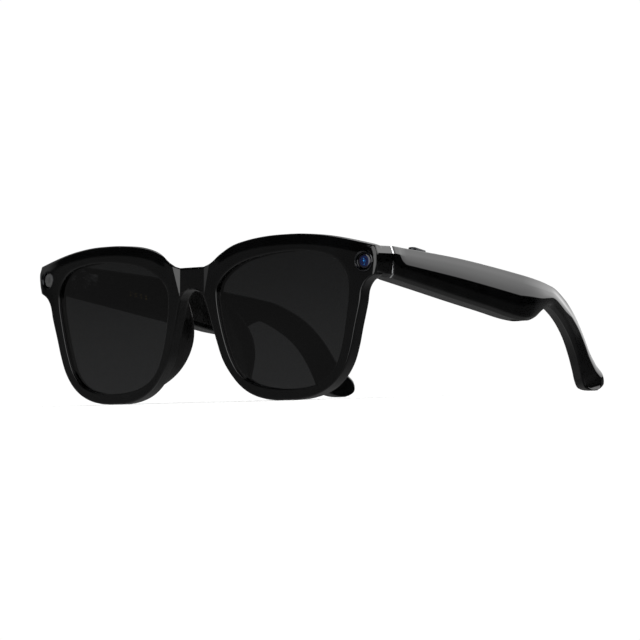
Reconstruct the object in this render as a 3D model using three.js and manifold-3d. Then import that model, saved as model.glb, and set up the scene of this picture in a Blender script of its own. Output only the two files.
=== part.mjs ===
// Smart glasses: a full-rim front with a camera and an indicator light, and two hollow folding temples.
//
// Units are millimetres. +X points to the wearer's left, +Y back towards the ears, +Z up. The pieces are
// built with the front of the bridge at y = 0 and the surface the glasses stand on at z = 0, and the whole
// group then moves so that the origin lies under the middle of the glasses.

import * as THREE from "three";
import { mergeVertices } from "three/addons/utils/BufferGeometryUtils.js";
import Module from "manifold-3d";

const wasm = await Module();
wasm.setup();

// ---------------------------------------------------------------- driving dimensions
const LENGTH = 153.6;            // front of the bridge to the back of the ear hooks
const GAP = 0.3;                 // between pieces that rest on each other

const FRONT_CURVE = 0.00146;     // curvature of the front across its width, 1/mm
const FRONT_TILT = 0.0204;       // how far the front leans back, mm per mm of height
const WRAP_START = 58;           // half width beyond which the ends wrap back more
const WRAP = 0.0022;             // extra curvature of the ends
const TILT_HEIGHT = 46;          // height at which the front stands at y = 0
const RIM_DEPTH = 4.6;
const RIM_CHAMFER = 0.4;

const LENS_THICKNESS = 2.0;
const LENS_RECESS = 1.2;         // front of the rim to the front of the lens
const LENS_CENTRE = [37.3, 26];
const LENS_OVERLAP = 0.6;        // how far the lens edge reaches into its groove
const GROOVE_DEPTH = 0.9;

const END_FRONT = 6.4;           // where the endpiece's block starts, inside the rim
const END_BACK = 14.5;           // ... and where it ends
const END_INNER = 65.5;          // inner side of the block
const END_OUTER = 73.2;          // outer side where it meets the temple
const END_OUTER_FRONT = 74.4;    // outer side at its front
const END_TOP = 48.2;
const END_BOTTOM = 38.0;
const END_BOTTOM_FRONT = 38.8;
const TRIM_THICKNESS = 0.8;
const TRIM_WALL = 1.6;
const POCKET = { x: 69.2, z: 43.3, width: 5.6, height: 6.2, front: 7.4 };
const POCKET_COVER = 1.2;        // thickness of the cover that closes the pocket

const CHANNEL_WIDTH = 2.6;       // the flat cable's channel along the back of the brow
const CHANNEL_DEPTH = 1.9;
const CHANNEL_COVER = { width: 2.2, thickness: 0.8 };
const FLEX = { width: 1.6, from: 1.6, to: 1.3 };  // depths measured from the rim's back

const CAMERA_X = 69.9;
const CAMERA_Z = 43.4;
const CAMERA_RADIUS = 3.45;
const INDICATOR_RADIUS = 3.2;
const BEZEL_GAP = 0.15;          // round the bezels in their bores
const BEZEL_BACK = 1.9;          // depth of the camera bezel's back
const BORE_STEP = 2.3;           // depth at which a bore narrows
const BORE_NARROW = 2.6;         // its radius beyond the step
const BORE_END = 6;

const HINGE_X = 63.9;
const HINGE_Y = 15.9;
const KNUCKLE_RADIUS = 1.5;
const PIN_RADIUS = 0.65;
const PIN_BORE = 0.8;
const KNUCKLE_LOW = 39.6;        // the frame leaf's two knuckles stand from here ...
const KNUCKLE_TALL = 1.9;        // ... this tall each ...
const KNUCKLE_HIGH = 46.6;       // ... up to here
const LEAF_THICKNESS = 1.0;
const LEAF_GAP = 0.2;            // between the knuckles of the two leaves
const SCREW_HOLE = 0.7;
const FRAME_SCREW_Y = 11.2;
const TEMPLE_SCREW_Y = 21.7;
const leafX = END_INNER - GAP - LEAF_THICKNESS / 2;
const leafMiddle = (KNUCKLE_HIGH + KNUCKLE_LOW) / 2;

const TEMPLE_FRONT = 16.2;
const TEMPLE_OUTER = 73.0;       // outer face at the hinge
const TEMPLE_THICK = 7.6;
const HOOK_THICK = 5.6;
const TEMPLE_WALL = 1.5;
const COVER_THICKNESS = 1.0;
const COVER_INSET = 0.15;        // how far the cover lies below the middle of the inner face
const CAVITY_FRONT = 24;
const CAVITY_BACK = 99;

const BUTTON = { y: 33.4, length: 7.4, width: 2.8, proud: 1.2, tilt: -0.09 };
const CONTACT_PITCH = 2.65;
const CONTACT_RADIUS = 0.9;
const CONTACT_PROUD = 0.1;       // how far a contact stands over the inner face
const CONTACT_START = [41.0, 38.7];
const CONTACT_SLOPE = -0.165;

// ---------------------------------------------------------------- materials
const paint = (color, roughness, metalness = 0) =>
  new THREE.MeshStandardMaterial({ color, roughness, metalness });
const glossBlack = paint(0x0b0b0c, 0.08);
const softBlack = paint(0x161617, 0.55);
const smokedGlass = paint(0x0d0e0f, 0.03);
const lensGlass = paint(0x10183a, 0.03);
const chrome = paint(0xd8dadc, 0.12, 1);
const steel = paint(0x9a9c9e, 0.3, 1);
const darkMetal = paint(0x2a2b2d, 0.3, 1);
const gold = paint(0xc9a24a, 0.25, 1);
const greyWindow = paint(0x4a4b4d, 0.25);
const circuit = paint(0x12351f, 0.6);
const cell = paint(0x8d9094, 0.4, 0.6);
const rubber = paint(0x141414, 0.7);
const copper = paint(0xa86a2c, 0.5);

// ---------------------------------------------------------------- shape tools
// Points a closed mesh's faces outwards and drops what a solid doesn't need.
function closed(geometry) {
  const bare = geometry.clone();
  bare.deleteAttribute("normal");
  bare.deleteAttribute("uv");
  const merged = mergeVertices(bare, 1e-4);
  const position = merged.attributes.position;
  const index = merged.index.array;
  const [a, b, c] = [new THREE.Vector3(), new THREE.Vector3(), new THREE.Vector3()];
  const kept = [];
  let volume = 0;
  for (let i = 0; i < index.length; i += 3) {
    const [p, q, r] = [index[i], index[i + 1], index[i + 2]];
    if (p === q || q === r || r === p) continue;
    kept.push(p, q, r);
    a.fromBufferAttribute(position, p);
    b.fromBufferAttribute(position, q);
    c.fromBufferAttribute(position, r);
    volume += a.dot(b.cross(c));
  }
  if (volume < 0) {
    for (let i = 0; i < kept.length; i += 3) [kept[i + 1], kept[i + 2]] = [kept[i + 2], kept[i + 1]];
  }
  merged.setIndex(kept);
  return merged;
}

function solid(geometry) {
  const shape = closed(geometry);
  const vertProperties = new Float32Array(shape.attributes.position.array);
  const triVerts = new Uint32Array(shape.index.array);
  return new wasm.Manifold(new wasm.Mesh({ numProp: 3, vertProperties, triVerts }));
}

function geometryOf(body) {
  const mesh = body.getMesh();
  const geometry = new THREE.BufferGeometry();
  geometry.setAttribute("position", new THREE.BufferAttribute(mesh.vertProperties, 3));
  geometry.setIndex(new THREE.BufferAttribute(mesh.triVerts, 1));
  return geometry;
}

function join(...shapes) {
  return geometryOf(shapes.map(solid).reduce((whole, next) => whole.add(next)));
}

function cut(shape, ...tools) {
  return geometryOf(tools.map(solid).reduce((whole, tool) => whole.subtract(tool), solid(shape)));
}

// Carries every point of a geometry to a new place.
function bend(geometry, place) {
  const position = geometry.attributes.position;
  for (let i = 0; i < position.count; i++) {
    const [x, y, z] = place(position.getX(i), position.getY(i), position.getZ(i));
    position.setXYZ(i, x, y, z);
  }
  return geometry;
}

// A point of the unit disc moved out to the superellipse |x|^n + |y|^n = 1.
function squared(c, s, power) {
  const reach = Math.pow(Math.abs(c) ** power + Math.abs(s) ** power, 1 / power);
  const grow = reach > 1e-6 ? Math.hypot(c, s) / reach : 1;
  return [c * grow, s * grow];
}

// A closed bar of rounded section. place(t, u, v) gives the point a share t along the bar, where u and v
// run from -1 to 1 across the section; a high power makes the section squarer.
function bar(steps, sides, power, place) {
  return bend(new THREE.CylinderGeometry(1, 1, 1, sides, steps), (x, y, z) => {
    const [u, v] = squared(x, z, power);
    return place(y + 0.5, u, v);
  });
}

// The same bar with a sharp rectangular section.
function boxBar(steps, place) {
  return bend(new THREE.BoxGeometry(2, 1, 2, 1, steps, 1), (x, y, z) => place(y + 0.5, x, z));
}

function box(width, depth, height, x, y, z) {
  return new THREE.BoxGeometry(width, depth, height).translate(x, y, z);
}

// A plate with round corners, lying flat, its middle at the origin.
function pill(length, width, height, radius = width / 2 - 0.01) {
  const [a, b] = [width / 2, length / 2];
  const shape = new THREE.Shape();
  shape.moveTo(a, -b + radius);
  shape.lineTo(a, b - radius);
  shape.absarc(a - radius, b - radius, radius, 0, Math.PI / 2);
  shape.absarc(radius - a, b - radius, radius, Math.PI / 2, Math.PI);
  shape.absarc(radius - a, radius - b, radius, Math.PI, 1.5 * Math.PI);
  shape.absarc(a - radius, radius - b, radius, 1.5 * Math.PI, 2 * Math.PI);
  const plate = new THREE.ExtrudeGeometry(shape, { depth: height, bevelEnabled: false, curveSegments: 6 });
  return plate.translate(0, 0, -height / 2);
}

// A turned piece whose axis runs along +Y; the profile is [radius, depth] pairs.
function turned(profile, sides = 24) {
  return new THREE.LatheGeometry(profile.map(([r, y]) => new THREE.Vector2(r, y)), sides);
}

const disc = (radius, from, to, sides = 24) =>
  turned([[0, from], [radius, from], [radius, to], [0, to]], sides);

const ring = (outer, inner, from, to, sides = 24) =>
  turned([[inner, from], [outer, from], [outer, to], [inner, to], [inner, from]], sides);

const upright = (geometry) => geometry.rotateX(Math.PI / 2);
const sideways = (geometry) => geometry.rotateZ(-Math.PI / 2);

const spline = (points) => new THREE.CatmullRomCurve3(
  points.map(([u, v]) => new THREE.Vector3(u, v, 0)), false, "centripetal");

function smoothstep(from, to, value) {
  const t = Math.min(Math.max((value - from) / (to - from), 0), 1);
  return t * t * (3 - 2 * t);
}

// ---------------------------------------------------------------- assembly
const glasses = new THREE.Group();

function add(name, geometry, material, group = glasses) {
  const shape = closed(geometry);
  shape.computeVertexNormals();
  const mesh = new THREE.Mesh(shape, material);
  mesh.name = name;
  group.add(mesh);
  return mesh;
}

const SIDES = { left: 1, right: -1 };

// Every paired piece is built on the wearer's left, at +X, and mirrored for the right.
function onSide(side, geometry) {
  return bend(geometry.clone(), (x, y, z) => [SIDES[side] * x, y, z]);
}

function addPair(name, geometry, material) {
  for (const side of Object.keys(SIDES)) add(`${name}_${side}`, onSide(side, geometry), material);
}

// ---------------------------------------------------------------- front
function frontSurface(x, z) {
  const beyond = Math.max(Math.abs(x) - WRAP_START, 0);
  return FRONT_CURVE * x * x / 2 + WRAP * beyond * beyond + FRONT_TILT * (TILT_HEIGHT - z);
}

// Stands a flat outline, drawn in x and z, on the front's curved surface between two depths.
function onFront(shape, from, to, chamfer = 0) {
  const geometry = new THREE.ExtrudeGeometry(shape, {
    depth: to - from - 2 * chamfer, bevelEnabled: chamfer > 0, bevelSize: chamfer, bevelThickness: chamfer,
    bevelOffset: -chamfer, bevelSegments: 1, curveSegments: 1,
  });
  return bend(geometry, (x, z, depth) => [x, frontSurface(x, z) + from + chamfer + depth, z]);
}

// The right half of the outline, from the middle of the bridge over the brow, round the endpiece and the
// rim, and back up the nose side. Each list is one smooth stretch between two corners.
const BROW = [
  [5.4, 44.6], [8.7, 45.8], [12.3, 48.4], [17.5, 50.9], [24, 52.4], [32, 53.3], [40, 53.5], [47, 53.3],
  [55, 52.4], [62, 51.1], [68.4, 49.6], [74, 48.2],
];
const END = [[74, 48.2], [74.5, 45.5], [74.6, 43], [74.4, 40.6], [73.8, 38.9]];
const RIM_OUTSIDE = [
  [73.8, 38.9], [70.9, 37.2], [69.1, 34.6], [68.1, 30], [66.1, 23], [64.3, 16.4], [62.3, 11.3],
  [59.3, 7], [55.5, 3.8], [50.5, 1.5], [45, 0.3], [40, 0],
];
const RIM_INSIDE = [
  [33.5, 0], [29, 0.6], [23.5, 2.3], [19.2, 4.9], [15.2, 9], [12, 13.8], [9.6, 20.4], [7.7, 26.4],
  [6.2, 31.4], [5.2, 34.2],
];
const ARCH = [[5.2, 34.2], [3.6, 36.1], [1.9, 37], [0, 37.3]];

function frontOutline() {
  const stretches = [[BROW, 18], [END, 4], [RIM_OUTSIDE, 20], [RIM_INSIDE, 14], [ARCH, 4]];
  const half = stretches.flatMap(([points, steps], i) => {
    const isLast = i === stretches.length - 1;
    const sharesItsEnd = !isLast && points.at(-1).join() === stretches[i + 1][0][0].join();
    return spline(points).getPoints(steps).slice(0, sharesItsEnd ? -1 : undefined);
  });
  const mirrored = half.slice(0, -1).reverse().map((p) => new THREE.Vector3(-p.x, p.y, 0));
  return new THREE.Shape([...half, ...mirrored].map((p) => new THREE.Vector2(p.x, p.y)));
}

const LENS_OUTLINE = [
  [10.7, 34.5], [12, 25], [15.6, 14], [19.5, 8.6], [26, 5.2], [36.6, 3.7], [47, 4.2], [53.6, 6.4],
  [57.8, 10.6], [60.6, 17.5], [62.6, 26], [63.9, 35], [63, 40.4], [58.8, 45], [50.5, 47.4],
  [41, 47.9], [30, 47], [20.5, 44.8], [14.2, 41.3], [11.3, 38],
];
const lensCurve = new THREE.CatmullRomCurve3(
  LENS_OUTLINE.map(([x, z]) => new THREE.Vector3(x, z, 0)), true, "centripetal");
const LENS_POINTS = 36;

// The lens opening grown by a margin all round.
function lensShape(margin) {
  const [cx, cz] = LENS_CENTRE;
  const points = lensCurve.getPoints(LENS_POINTS).slice(0, -1).map((p) => {
    const away = new THREE.Vector2(p.x - cx, p.y - cz);
    return away.setLength(away.length() + margin).add(new THREE.Vector2(cx, cz));
  });
  return new THREE.Shape(points);
}

// A lens is a curved plate fanned out from its middle, so that it follows the front's curve.
function lensGeometry() {
  const rim = lensShape(LENS_OVERLAP).getPoints();
  const [cx, cz] = LENS_CENTRE;
  return bend(new THREE.CylinderGeometry(1, 1, LENS_THICKNESS, rim.length, 1), (x, y, z) => {
    const turn = Math.round((Math.atan2(x, z) / (2 * Math.PI) + 1) * rim.length) % rim.length;
    const reach = Math.hypot(x, z);
    const px = cx + (rim[turn].x - cx) * reach;
    const pz = cz + (rim[turn].y - cz) * reach;
    return [px, frontSurface(px, pz) + LENS_RECESS + LENS_THICKNESS / 2 + y, pz];
  });
}

// The endpiece: a block that carries the rim back to the temple.
function endpieceBlock() {
  return bar(6, 16, 5, (t, u, v) => {
    const outer = THREE.MathUtils.lerp(END_OUTER_FRONT, END_OUTER, t);
    const bottom = THREE.MathUtils.lerp(END_BOTTOM_FRONT, END_BOTTOM, t);
    const x = (END_INNER + outer) / 2 + u * (outer - END_INNER) / 2;
    const z = (END_TOP + bottom) / 2 + v * (END_TOP - bottom) / 2;
    return [x, THREE.MathUtils.lerp(END_FRONT, END_BACK, t), z];
  });
}

// Sets a turned piece into the front face of the left endpiece, its axis square to the curved face.
const seatAngle = Math.atan(FRONT_CURVE * CAMERA_X + 2 * WRAP * (CAMERA_X - WRAP_START));
function seated(geometry) {
  return geometry.rotateZ(seatAngle).translate(CAMERA_X, frontSurface(CAMERA_X, CAMERA_Z), CAMERA_Z);
}

function endPocket() {
  const back = END_BACK + 1;
  return box(POCKET.width, back - POCKET.front, POCKET.height, POCKET.x, (back + POCKET.front) / 2, POCKET.z);
}

// The flat cable's channel runs along the back of the brow from one endpiece pocket to the other.
const CHANNEL = [
  [0, 41], [6, 41.6], [10.5, 43.9], [16, 46.9], [24, 49.3], [34, 50.6], [44, 50.7], [54, 49.5], [61.5, 47.4],
  [67.6, 44.6],
];
const channelPath = spline([...CHANNEL.slice(1).reverse().map(([x, z]) => [-x, z]), ...CHANNEL]);

function channelBar(width, from, to, start = 0) {
  return boxBar(32, (t, u, v) => {
    const share = THREE.MathUtils.lerp(start, 1 - start, t);
    const middle = channelPath.getPointAt(share);
    const along = channelPath.getTangentAt(share);
    const x = middle.x - along.y * u * width / 2;
    const z = middle.y + along.x * u * width / 2;
    return [x, frontSurface(x, z) + THREE.MathUtils.lerp(from, to, (v + 1) / 2), z];
  });
}

function frontFrame() {
  const outline = frontOutline();
  const hole = lensShape(0).getPoints();
  const mirroredHole = hole.map((p) => new THREE.Vector2(-p.x, p.y)).reverse();
  outline.holes.push(new THREE.Path(hole), new THREE.Path(mirroredHole));
  const plate = onFront(outline, 0, RIM_DEPTH, RIM_CHAMFER);
  const endpiece = endpieceBlock();
  const groove = onFront(lensShape(GROOVE_DEPTH), LENS_RECESS - GAP, LENS_RECESS + LENS_THICKNESS + GAP);
  const screwHole = sideways(disc(SCREW_HOLE, -0.5, 2.6, 12)).translate(END_INNER, FRAME_SCREW_Y, leafMiddle);
  const channel = channelBar(CHANNEL_WIDTH, RIM_DEPTH - CHANNEL_DEPTH, RIM_DEPTH + 0.5);
  const tools = [
    channel,
    steppedBore(CAMERA_RADIUS + BEZEL_GAP),
    onSide("right", steppedBore(INDICATOR_RADIUS + BEZEL_GAP)),
    ...[groove, endPocket(), screwHole].flatMap((tool) => [tool, onSide("right", tool)]),
  ];
  return cut(join(plate, endpiece, onSide("right", endpiece)), ...tools);
}

// A stepped bore: wide for the bezel, then narrow through to the pocket.
function steppedBore(radius) {
  return seated(turned([
    [0, -2], [radius, -2], [radius, BORE_STEP],
    [BORE_NARROW, BORE_STEP], [BORE_NARROW, BORE_END], [0, BORE_END],
  ], 28));
}

add("front_frame", frontFrame(), glossBlack);
addPair("lens", lensGeometry(), smokedGlass);
const coverFloor = RIM_DEPTH - CHANNEL_COVER.thickness;
add("brow_cover", channelBar(CHANNEL_COVER.width, coverFloor, RIM_DEPTH, 0.04), softBlack);
add("brow_flex", channelBar(FLEX.width, RIM_DEPTH - FLEX.from, RIM_DEPTH - FLEX.to, 0.02), copper);

// ---------------------------------------------------------------- nose pads
const PAD_TOP = 31;
const PAD_BOTTOM = 7;
const PAD_REACH = 5.6;           // half of the pad's width at its middle
const PAD_THICK = 1.9;
const PAD_FLARE = 2.6;           // how far the outer edge stands behind the nose edge, halved
const PAD_STAND = 0.2;           // from the rim's back, over the gap, to the pad's nose edge
const WEB_WIDTH = 1.7;           // half of the width of the foot that carries the pad on the rim

// The middle of the pad at a share of the way down it: its x, its height, and the y of the rim's back.
function padMiddle(share) {
  const x = 9.3 + 3.2 * share + 4.6 * share * share;
  const z = THREE.MathUtils.lerp(PAD_TOP, PAD_BOTTOM, share);
  return [x, frontSurface(x, z) + RIM_DEPTH, z];
}

function nosePad() {
  const pad = bar(10, 14, 2, (t, u, v) => {
    const [x, back, z] = padMiddle(t);
    const swell = Math.pow(Math.sin(Math.PI * THREE.MathUtils.lerp(0.04, 0.96, t)), 0.6);
    const y = back + GAP + PAD_THICK + PAD_STAND + PAD_FLARE;
    return [x + u * PAD_REACH * swell, y + (u * PAD_FLARE + v * PAD_THICK) * swell, z];
  });
  const web = boxBar(6, (t, u, v) => {
    const [x, back, z] = padMiddle(THREE.MathUtils.lerp(0.2, 0.84, t));
    return [x + u * WEB_WIDTH, back + (v > 0 ? GAP : PAD_THICK + PAD_FLARE), z];
  });
  return join(pad, web);
}
addPair("nose_pad", nosePad(), rubber);

// ---------------------------------------------------------------- camera and indicator
add("camera_bezel", seated(turned([
  [2.05, BEZEL_BACK], [2.05, 0.9], [2.5, 0.5], [2.75, -0.1], [3.0, -0.35], [3.3, -0.3], [CAMERA_RADIUS, 0.1],
  [CAMERA_RADIUS, BEZEL_BACK], [2.05, BEZEL_BACK],
], 28)), chrome);
add("camera_glass", seated(turned([[0, 0.75], [1.0, 0.8], [1.75, 1.0], [1.75, 1.6], [0, 1.6]])), lensGlass);
add("camera_barrel", seated(turned([
  [0, 2.6], [1.7, 2.6], [1.9, 3.0], [2.1, 3.6], [2.1, 6.2], [0, 6.2],
])), softBlack);
add("camera_board", seated(box(4.0, 0.8, 5.2, 0, 7.1, 0)), circuit);

add("indicator_bezel", onSide("right", seated(turned([
  [2.7, 1.8], [2.7, 0.5], [2.9, -0.05], [INDICATOR_RADIUS, 0.05], [INDICATOR_RADIUS, 1.8], [2.7, 1.8],
], 28))), darkMetal);
add("indicator_window", onSide("right", seated(turned([[0, 0.55], [2.4, 0.65], [2.4, 1.6], [0, 1.6]]))),
  greyWindow);
add("indicator_board", onSide("right", seated(join(
  box(4.0, 0.8, 5.0, 0, 6.2, 0), box(1.8, 1.4, 1.8, 0, 5.2, 0)))), circuit);

// ---------------------------------------------------------------- endpiece covers and trim bands
const pocketCover = box(POCKET.width - 2 * GAP, POCKET_COVER, POCKET.height - 2 * GAP, 0, 0, 0);
addPair("endpiece_cover", pocketCover.translate(POCKET.x, END_BACK - 0.8, POCKET.z), softBlack);

function trimBand() {
  const section = (inset) => bar(1, 16, 5, (t, u, v) => {
    const y = END_BACK + GAP + t * TRIM_THICKNESS + (inset > 0 ? 4 * (t - 0.5) : 0);
    const width = (END_OUTER - END_INNER) / 2 - inset;
    const height = (END_TOP - END_BOTTOM) / 2 - inset;
    return [(END_OUTER + END_INNER) / 2 + u * width, y, (END_TOP + END_BOTTOM) / 2 + v * height];
  });
  return cut(section(0), section(TRIM_WALL));
}
addPair("endpiece_trim", trimBand(), chrome);

// ---------------------------------------------------------------- hinges
const LEAF_HEIGHT = KNUCKLE_HIGH - KNUCKLE_LOW;
const middleKnuckle = LEAF_HEIGHT - 2 * KNUCKLE_TALL;
const knuckle = (from, to) => upright(disc(KNUCKLE_RADIUS, from, to, 20)).translate(HINGE_X, HINGE_Y, 0);
const pinBore = () => upright(disc(PIN_BORE, 30, 60, 20)).translate(HINGE_X, HINGE_Y, 0);

function frameLeaf() {
  const plate = box(LEAF_THICKNESS, 5.6, LEAF_HEIGHT, leafX, 13.1, leafMiddle);
  const lower = knuckle(KNUCKLE_LOW, KNUCKLE_LOW + KNUCKLE_TALL);
  const upper = knuckle(KNUCKLE_HIGH - KNUCKLE_TALL, KNUCKLE_HIGH);
  const notch = box(6, 5, middleKnuckle, HINGE_X, HINGE_Y + 0.5, leafMiddle);
  const screwHole = sideways(disc(SCREW_HOLE, -3, 3, 12)).translate(leafX, FRAME_SCREW_Y, leafMiddle);
  return cut(join(lower, upper, plate), notch, pinBore(), screwHole);
}
addPair("hinge_frame_leaf", frameLeaf(), steel);

const templeLeafX = leafX - 0.15;
const templeLeafZ = leafMiddle - 0.4;

function templeLeaf() {
  const tall = middleKnuckle - 2 * LEAF_GAP;
  const arm = box(LEAF_THICKNESS, 3.2, tall, templeLeafX, HINGE_Y + 1.6, leafMiddle);
  const plate = box(LEAF_THICKNESS, 5.8, LEAF_HEIGHT - 1.2, templeLeafX, HINGE_Y + 5.2, templeLeafZ);
  const screwHole = sideways(disc(SCREW_HOLE, -3, 3, 12)).translate(leafX, TEMPLE_SCREW_Y, templeLeafZ);
  return cut(join(knuckle(leafMiddle - tall / 2, leafMiddle + tall / 2), arm, plate), pinBore(), screwHole);
}
addPair("hinge_temple_leaf", templeLeaf(), steel);

function hingePin() {
  const top = KNUCKLE_HIGH + 0.2;
  const profile = [[0, KNUCKLE_LOW - 0.3], [PIN_RADIUS, KNUCKLE_LOW - 0.3], [PIN_RADIUS, top], [1.2, top],
    [1.0, top + 0.7], [0, top + 0.7]];
  return upright(turned(profile, 20)).translate(HINGE_X, HINGE_Y, 0);
}
addPair("hinge_pin", hingePin(), steel);

// A small screw whose head sits on the leaf and whose shank points outwards.
const leafScrew = () => sideways(turned([
  [0, -1.3], [1.1, -1.3], [1.1, -0.7], [0.5, -0.7], [0.5, 2.2], [0, 2.2],
], 14));
addPair("hinge_frame_screw", leafScrew().translate(leafX - 0.1, FRAME_SCREW_Y, leafMiddle), steel);
addPair("hinge_temple_screw", leafScrew().translate(leafX - 0.25, TEMPLE_SCREW_Y, templeLeafZ), steel);

// ---------------------------------------------------------------- temples
// Matching points of the temple's upper and lower edges, seen from the side, as [y, z].
const EDGES = [
  [[16.2, 48.3], [16.2, 37.9]], [[34, 46.8], [34, 34.6]], [[53, 45], [52, 31.2]], [[72, 42.6], [70, 27.9]],
  [[90, 40], [85, 25]], [[98, 38.8], [92.5, 24.4]], [[104.5, 37.8], [99, 25.6]], [[110, 36.8], [105, 28.1]],
  [[115, 35.8], [110.5, 29.2]], [[121, 33.6], [116.5, 26.9]], [[127.5, 30.4], [123, 23]],
  [[133.5, 26], [128.5, 18.3]], [[139, 20.3], [132.8, 12.6]], [[144, 13.8], [135.8, 7]],
  [[148.8, 9], [137.3, 3.6]], [[153, 5.6], [139.2, 1.3]], [[153.4, 2.4], [142, 0.4]],
  [[150.5, 0.6], [144.5, 0.1]], [[148.8, 0], [146, 0]],
];
const upperEdge = spline(EDGES.map(([upper]) => upper));
const lowerEdge = spline(EDGES.map(([, lower]) => lower));

// How far the temple has curved in towards the head, and how thick it is, at a given y.
const inward = (y) => 0.03 * (y - TEMPLE_FRONT) + 8.5 * smoothstep(88, 152, y);
const thickness = (y) => THREE.MathUtils.lerp(TEMPLE_THICK, HOOK_THICK, smoothstep(60, 125, y));
const outerFace = (y) => TEMPLE_OUTER - inward(y);
const innerFace = (y) => outerFace(y) - thickness(y);

// A point of the temple: a share t along it, up and down by v and across by u, each from -1 to 1,
// kept inside the temple's surface by the margins given.
function templePoint(t, u, v, margin = 0) {
  const upper = upperEdge.getPoint(t);
  const lower = lowerEdge.getPoint(t);
  const middle = upper.clone().add(lower).multiplyScalar(0.5);
  const half = upper.clone().sub(middle);
  half.setLength(Math.max(half.length() - margin, 0.05));
  const y = middle.x + half.x * v;
  const z = middle.y + half.y * v;
  return [y, z, (innerFace(middle.x) + outerFace(middle.x)) / 2, thickness(middle.x)];
}

function templeBody() {
  return bar(40, 16, 5, (t, u, v) => {
    const [y, z, x, thick] = templePoint(t, u, v);
    const narrowing = 1 - 0.35 * smoothstep(0.93, 1, t);
    return [x + u * narrowing * thick / 2, y, z];
  });
}

// The share along the edges at which the temple's middle line reaches a given y.
function shareAt(y) {
  let [low, high] = [0, 1];
  for (let i = 0; i < 30; i++) {
    const t = (low + high) / 2;
    const middle = (upperEdge.getPoint(t).x + lowerEdge.getPoint(t).x) / 2;
    if (middle < y) low = t;
    else high = t;
  }
  return low;
}

// A bar that follows the temple's inside between two y, kept a margin in from its edges, between two
// distances from its outer face.
function insideTemple(fromY, toY, margin, nearOuter, nearInner) {
  const [start, end] = [shareAt(fromY), shareAt(toY)];
  return boxBar(10, (t, u, v) => {
    const [y, z, x, thick] = templePoint(THREE.MathUtils.lerp(start, end, t), u, v, margin);
    const outer = x + thick / 2 - nearOuter;
    const inner = x - thick / 2 + nearInner;
    return [u > 0 ? outer : inner, y, z];
  });
}

const topAt = (y) => upperEdge.getPoint(shareAt(y)).y;
const bottomAt = (y) => lowerEdge.getPoint(shareAt(y)).y;
const middleX = (y) => (innerFace(y) + outerFace(y)) / 2;
const middleZ = (y) => (topAt(y) + bottomAt(y)) / 2;

// The middle line of the ear hook, for its core wire and the wire's bore.
function hookPath(fromY, endShare) {
  const start = shareAt(fromY);
  const points = [];
  for (let i = 0; i <= 8; i++) {
    const [y, z, x] = templePoint(THREE.MathUtils.lerp(start, endShare, i / 8), 0, 0);
    points.push(new THREE.Vector3(x, y, z));
  }
  return new THREE.CatmullRomCurve3(points);
}

function rodAlong(path, radius, steps = 12) {
  const shape = new THREE.Shape();
  shape.absarc(0, 0, radius, 0, 2 * Math.PI);
  const options = { steps, curveSegments: 3, bevelEnabled: false, extrudePath: path };
  return new THREE.ExtrudeGeometry(shape, options);
}

// The button's parts are drawn lying flat and then tilted to follow the temple's upper edge.
const onTop = (geometry) =>
  geometry.rotateX(Math.atan(BUTTON.tilt)).translate(middleX(BUTTON.y), BUTTON.y, topAt(BUTTON.y));

const GRILLE_Y = 90;
const GRILLE = { length: 7.4, width: 2.6, thickness: 1, raise: 0.75 };
const grilleSlot = () => pill(GRILLE.length + 2 * GAP, GRILLE.width + 2 * GAP, 5).translate(
  middleX(GRILLE_Y), GRILLE_Y, bottomAt(GRILLE_Y));
const leafHole = () => sideways(disc(SCREW_HOLE, -2, 2.4, 12)).translate(
  leafX + 1, TEMPLE_SCREW_Y, templeLeafZ);

function templeShell(extraCuts) {
  const cavity = insideTemple(CAVITY_FRONT, CAVITY_BACK, TEMPLE_WALL, TEMPLE_WALL, -2);
  const bore = rodAlong(hookPath(CAVITY_BACK - 1.5, 0.82), 1.1);
  return cut(templeBody(), cavity, bore, grilleSlot(), leafHole(), ...extraCuts);
}

const buttonSlot = () => onTop(pill(BUTTON.length + 0.5, BUTTON.width + 0.5, 6));
add("temple_shell_left", templeShell([buttonSlot()]), glossBlack);
add("temple_shell_right", onSide("right", templeShell([])), glossBlack);

function coverGeometry() {
  const [start, end] = [shareAt(CAVITY_FRONT + 0.4), shareAt(CAVITY_BACK - 0.4)];
  return boxBar(10, (t, u, v) => {
    const share = THREE.MathUtils.lerp(start, end, t);
    const [y, z, x, thick] = templePoint(share, u, v, TEMPLE_WALL + GAP);
    return [x - thick / 2 + COVER_INSET + (u > 0 ? COVER_THICKNESS : 0), y, z];
  });
}

// The four charging contacts stand in holes through the right cover.
function contactPlace(i) {
  const along = i * CONTACT_PITCH;
  return [CONTACT_START[0] + along, CONTACT_START[1] + along * CONTACT_SLOPE];
}
const contactHole = (i) => {
  const [y, z] = contactPlace(i);
  return sideways(disc(CONTACT_RADIUS + BEZEL_GAP, -2, 3, 16)).translate(innerFace(y), y, z);
};
const contacts = [0, 1, 2, 3];
add("temple_cover_left", coverGeometry(), softBlack);
add("temple_cover_right", onSide("right", cut(coverGeometry(), ...contacts.map(contactHole))), softBlack);
for (const i of contacts) {
  const [y, z] = contactPlace(i);
  const pin = sideways(disc(CONTACT_RADIUS, -CONTACT_PROUD, 1.4, 16)).translate(innerFace(y), y, z);
  add(`charge_contact_${i + 1}`, onSide("right", pin), gold);
}

addPair("temple_core", rodAlong(hookPath(CAVITY_BACK, 0.8), 0.7), steel);
addPair("speaker_grille", pill(GRILLE.length, GRILLE.width, GRILLE.thickness).translate(
  middleX(GRILLE_Y), GRILLE_Y, bottomAt(GRILLE_Y) + GRILLE.raise), darkMetal);

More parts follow.
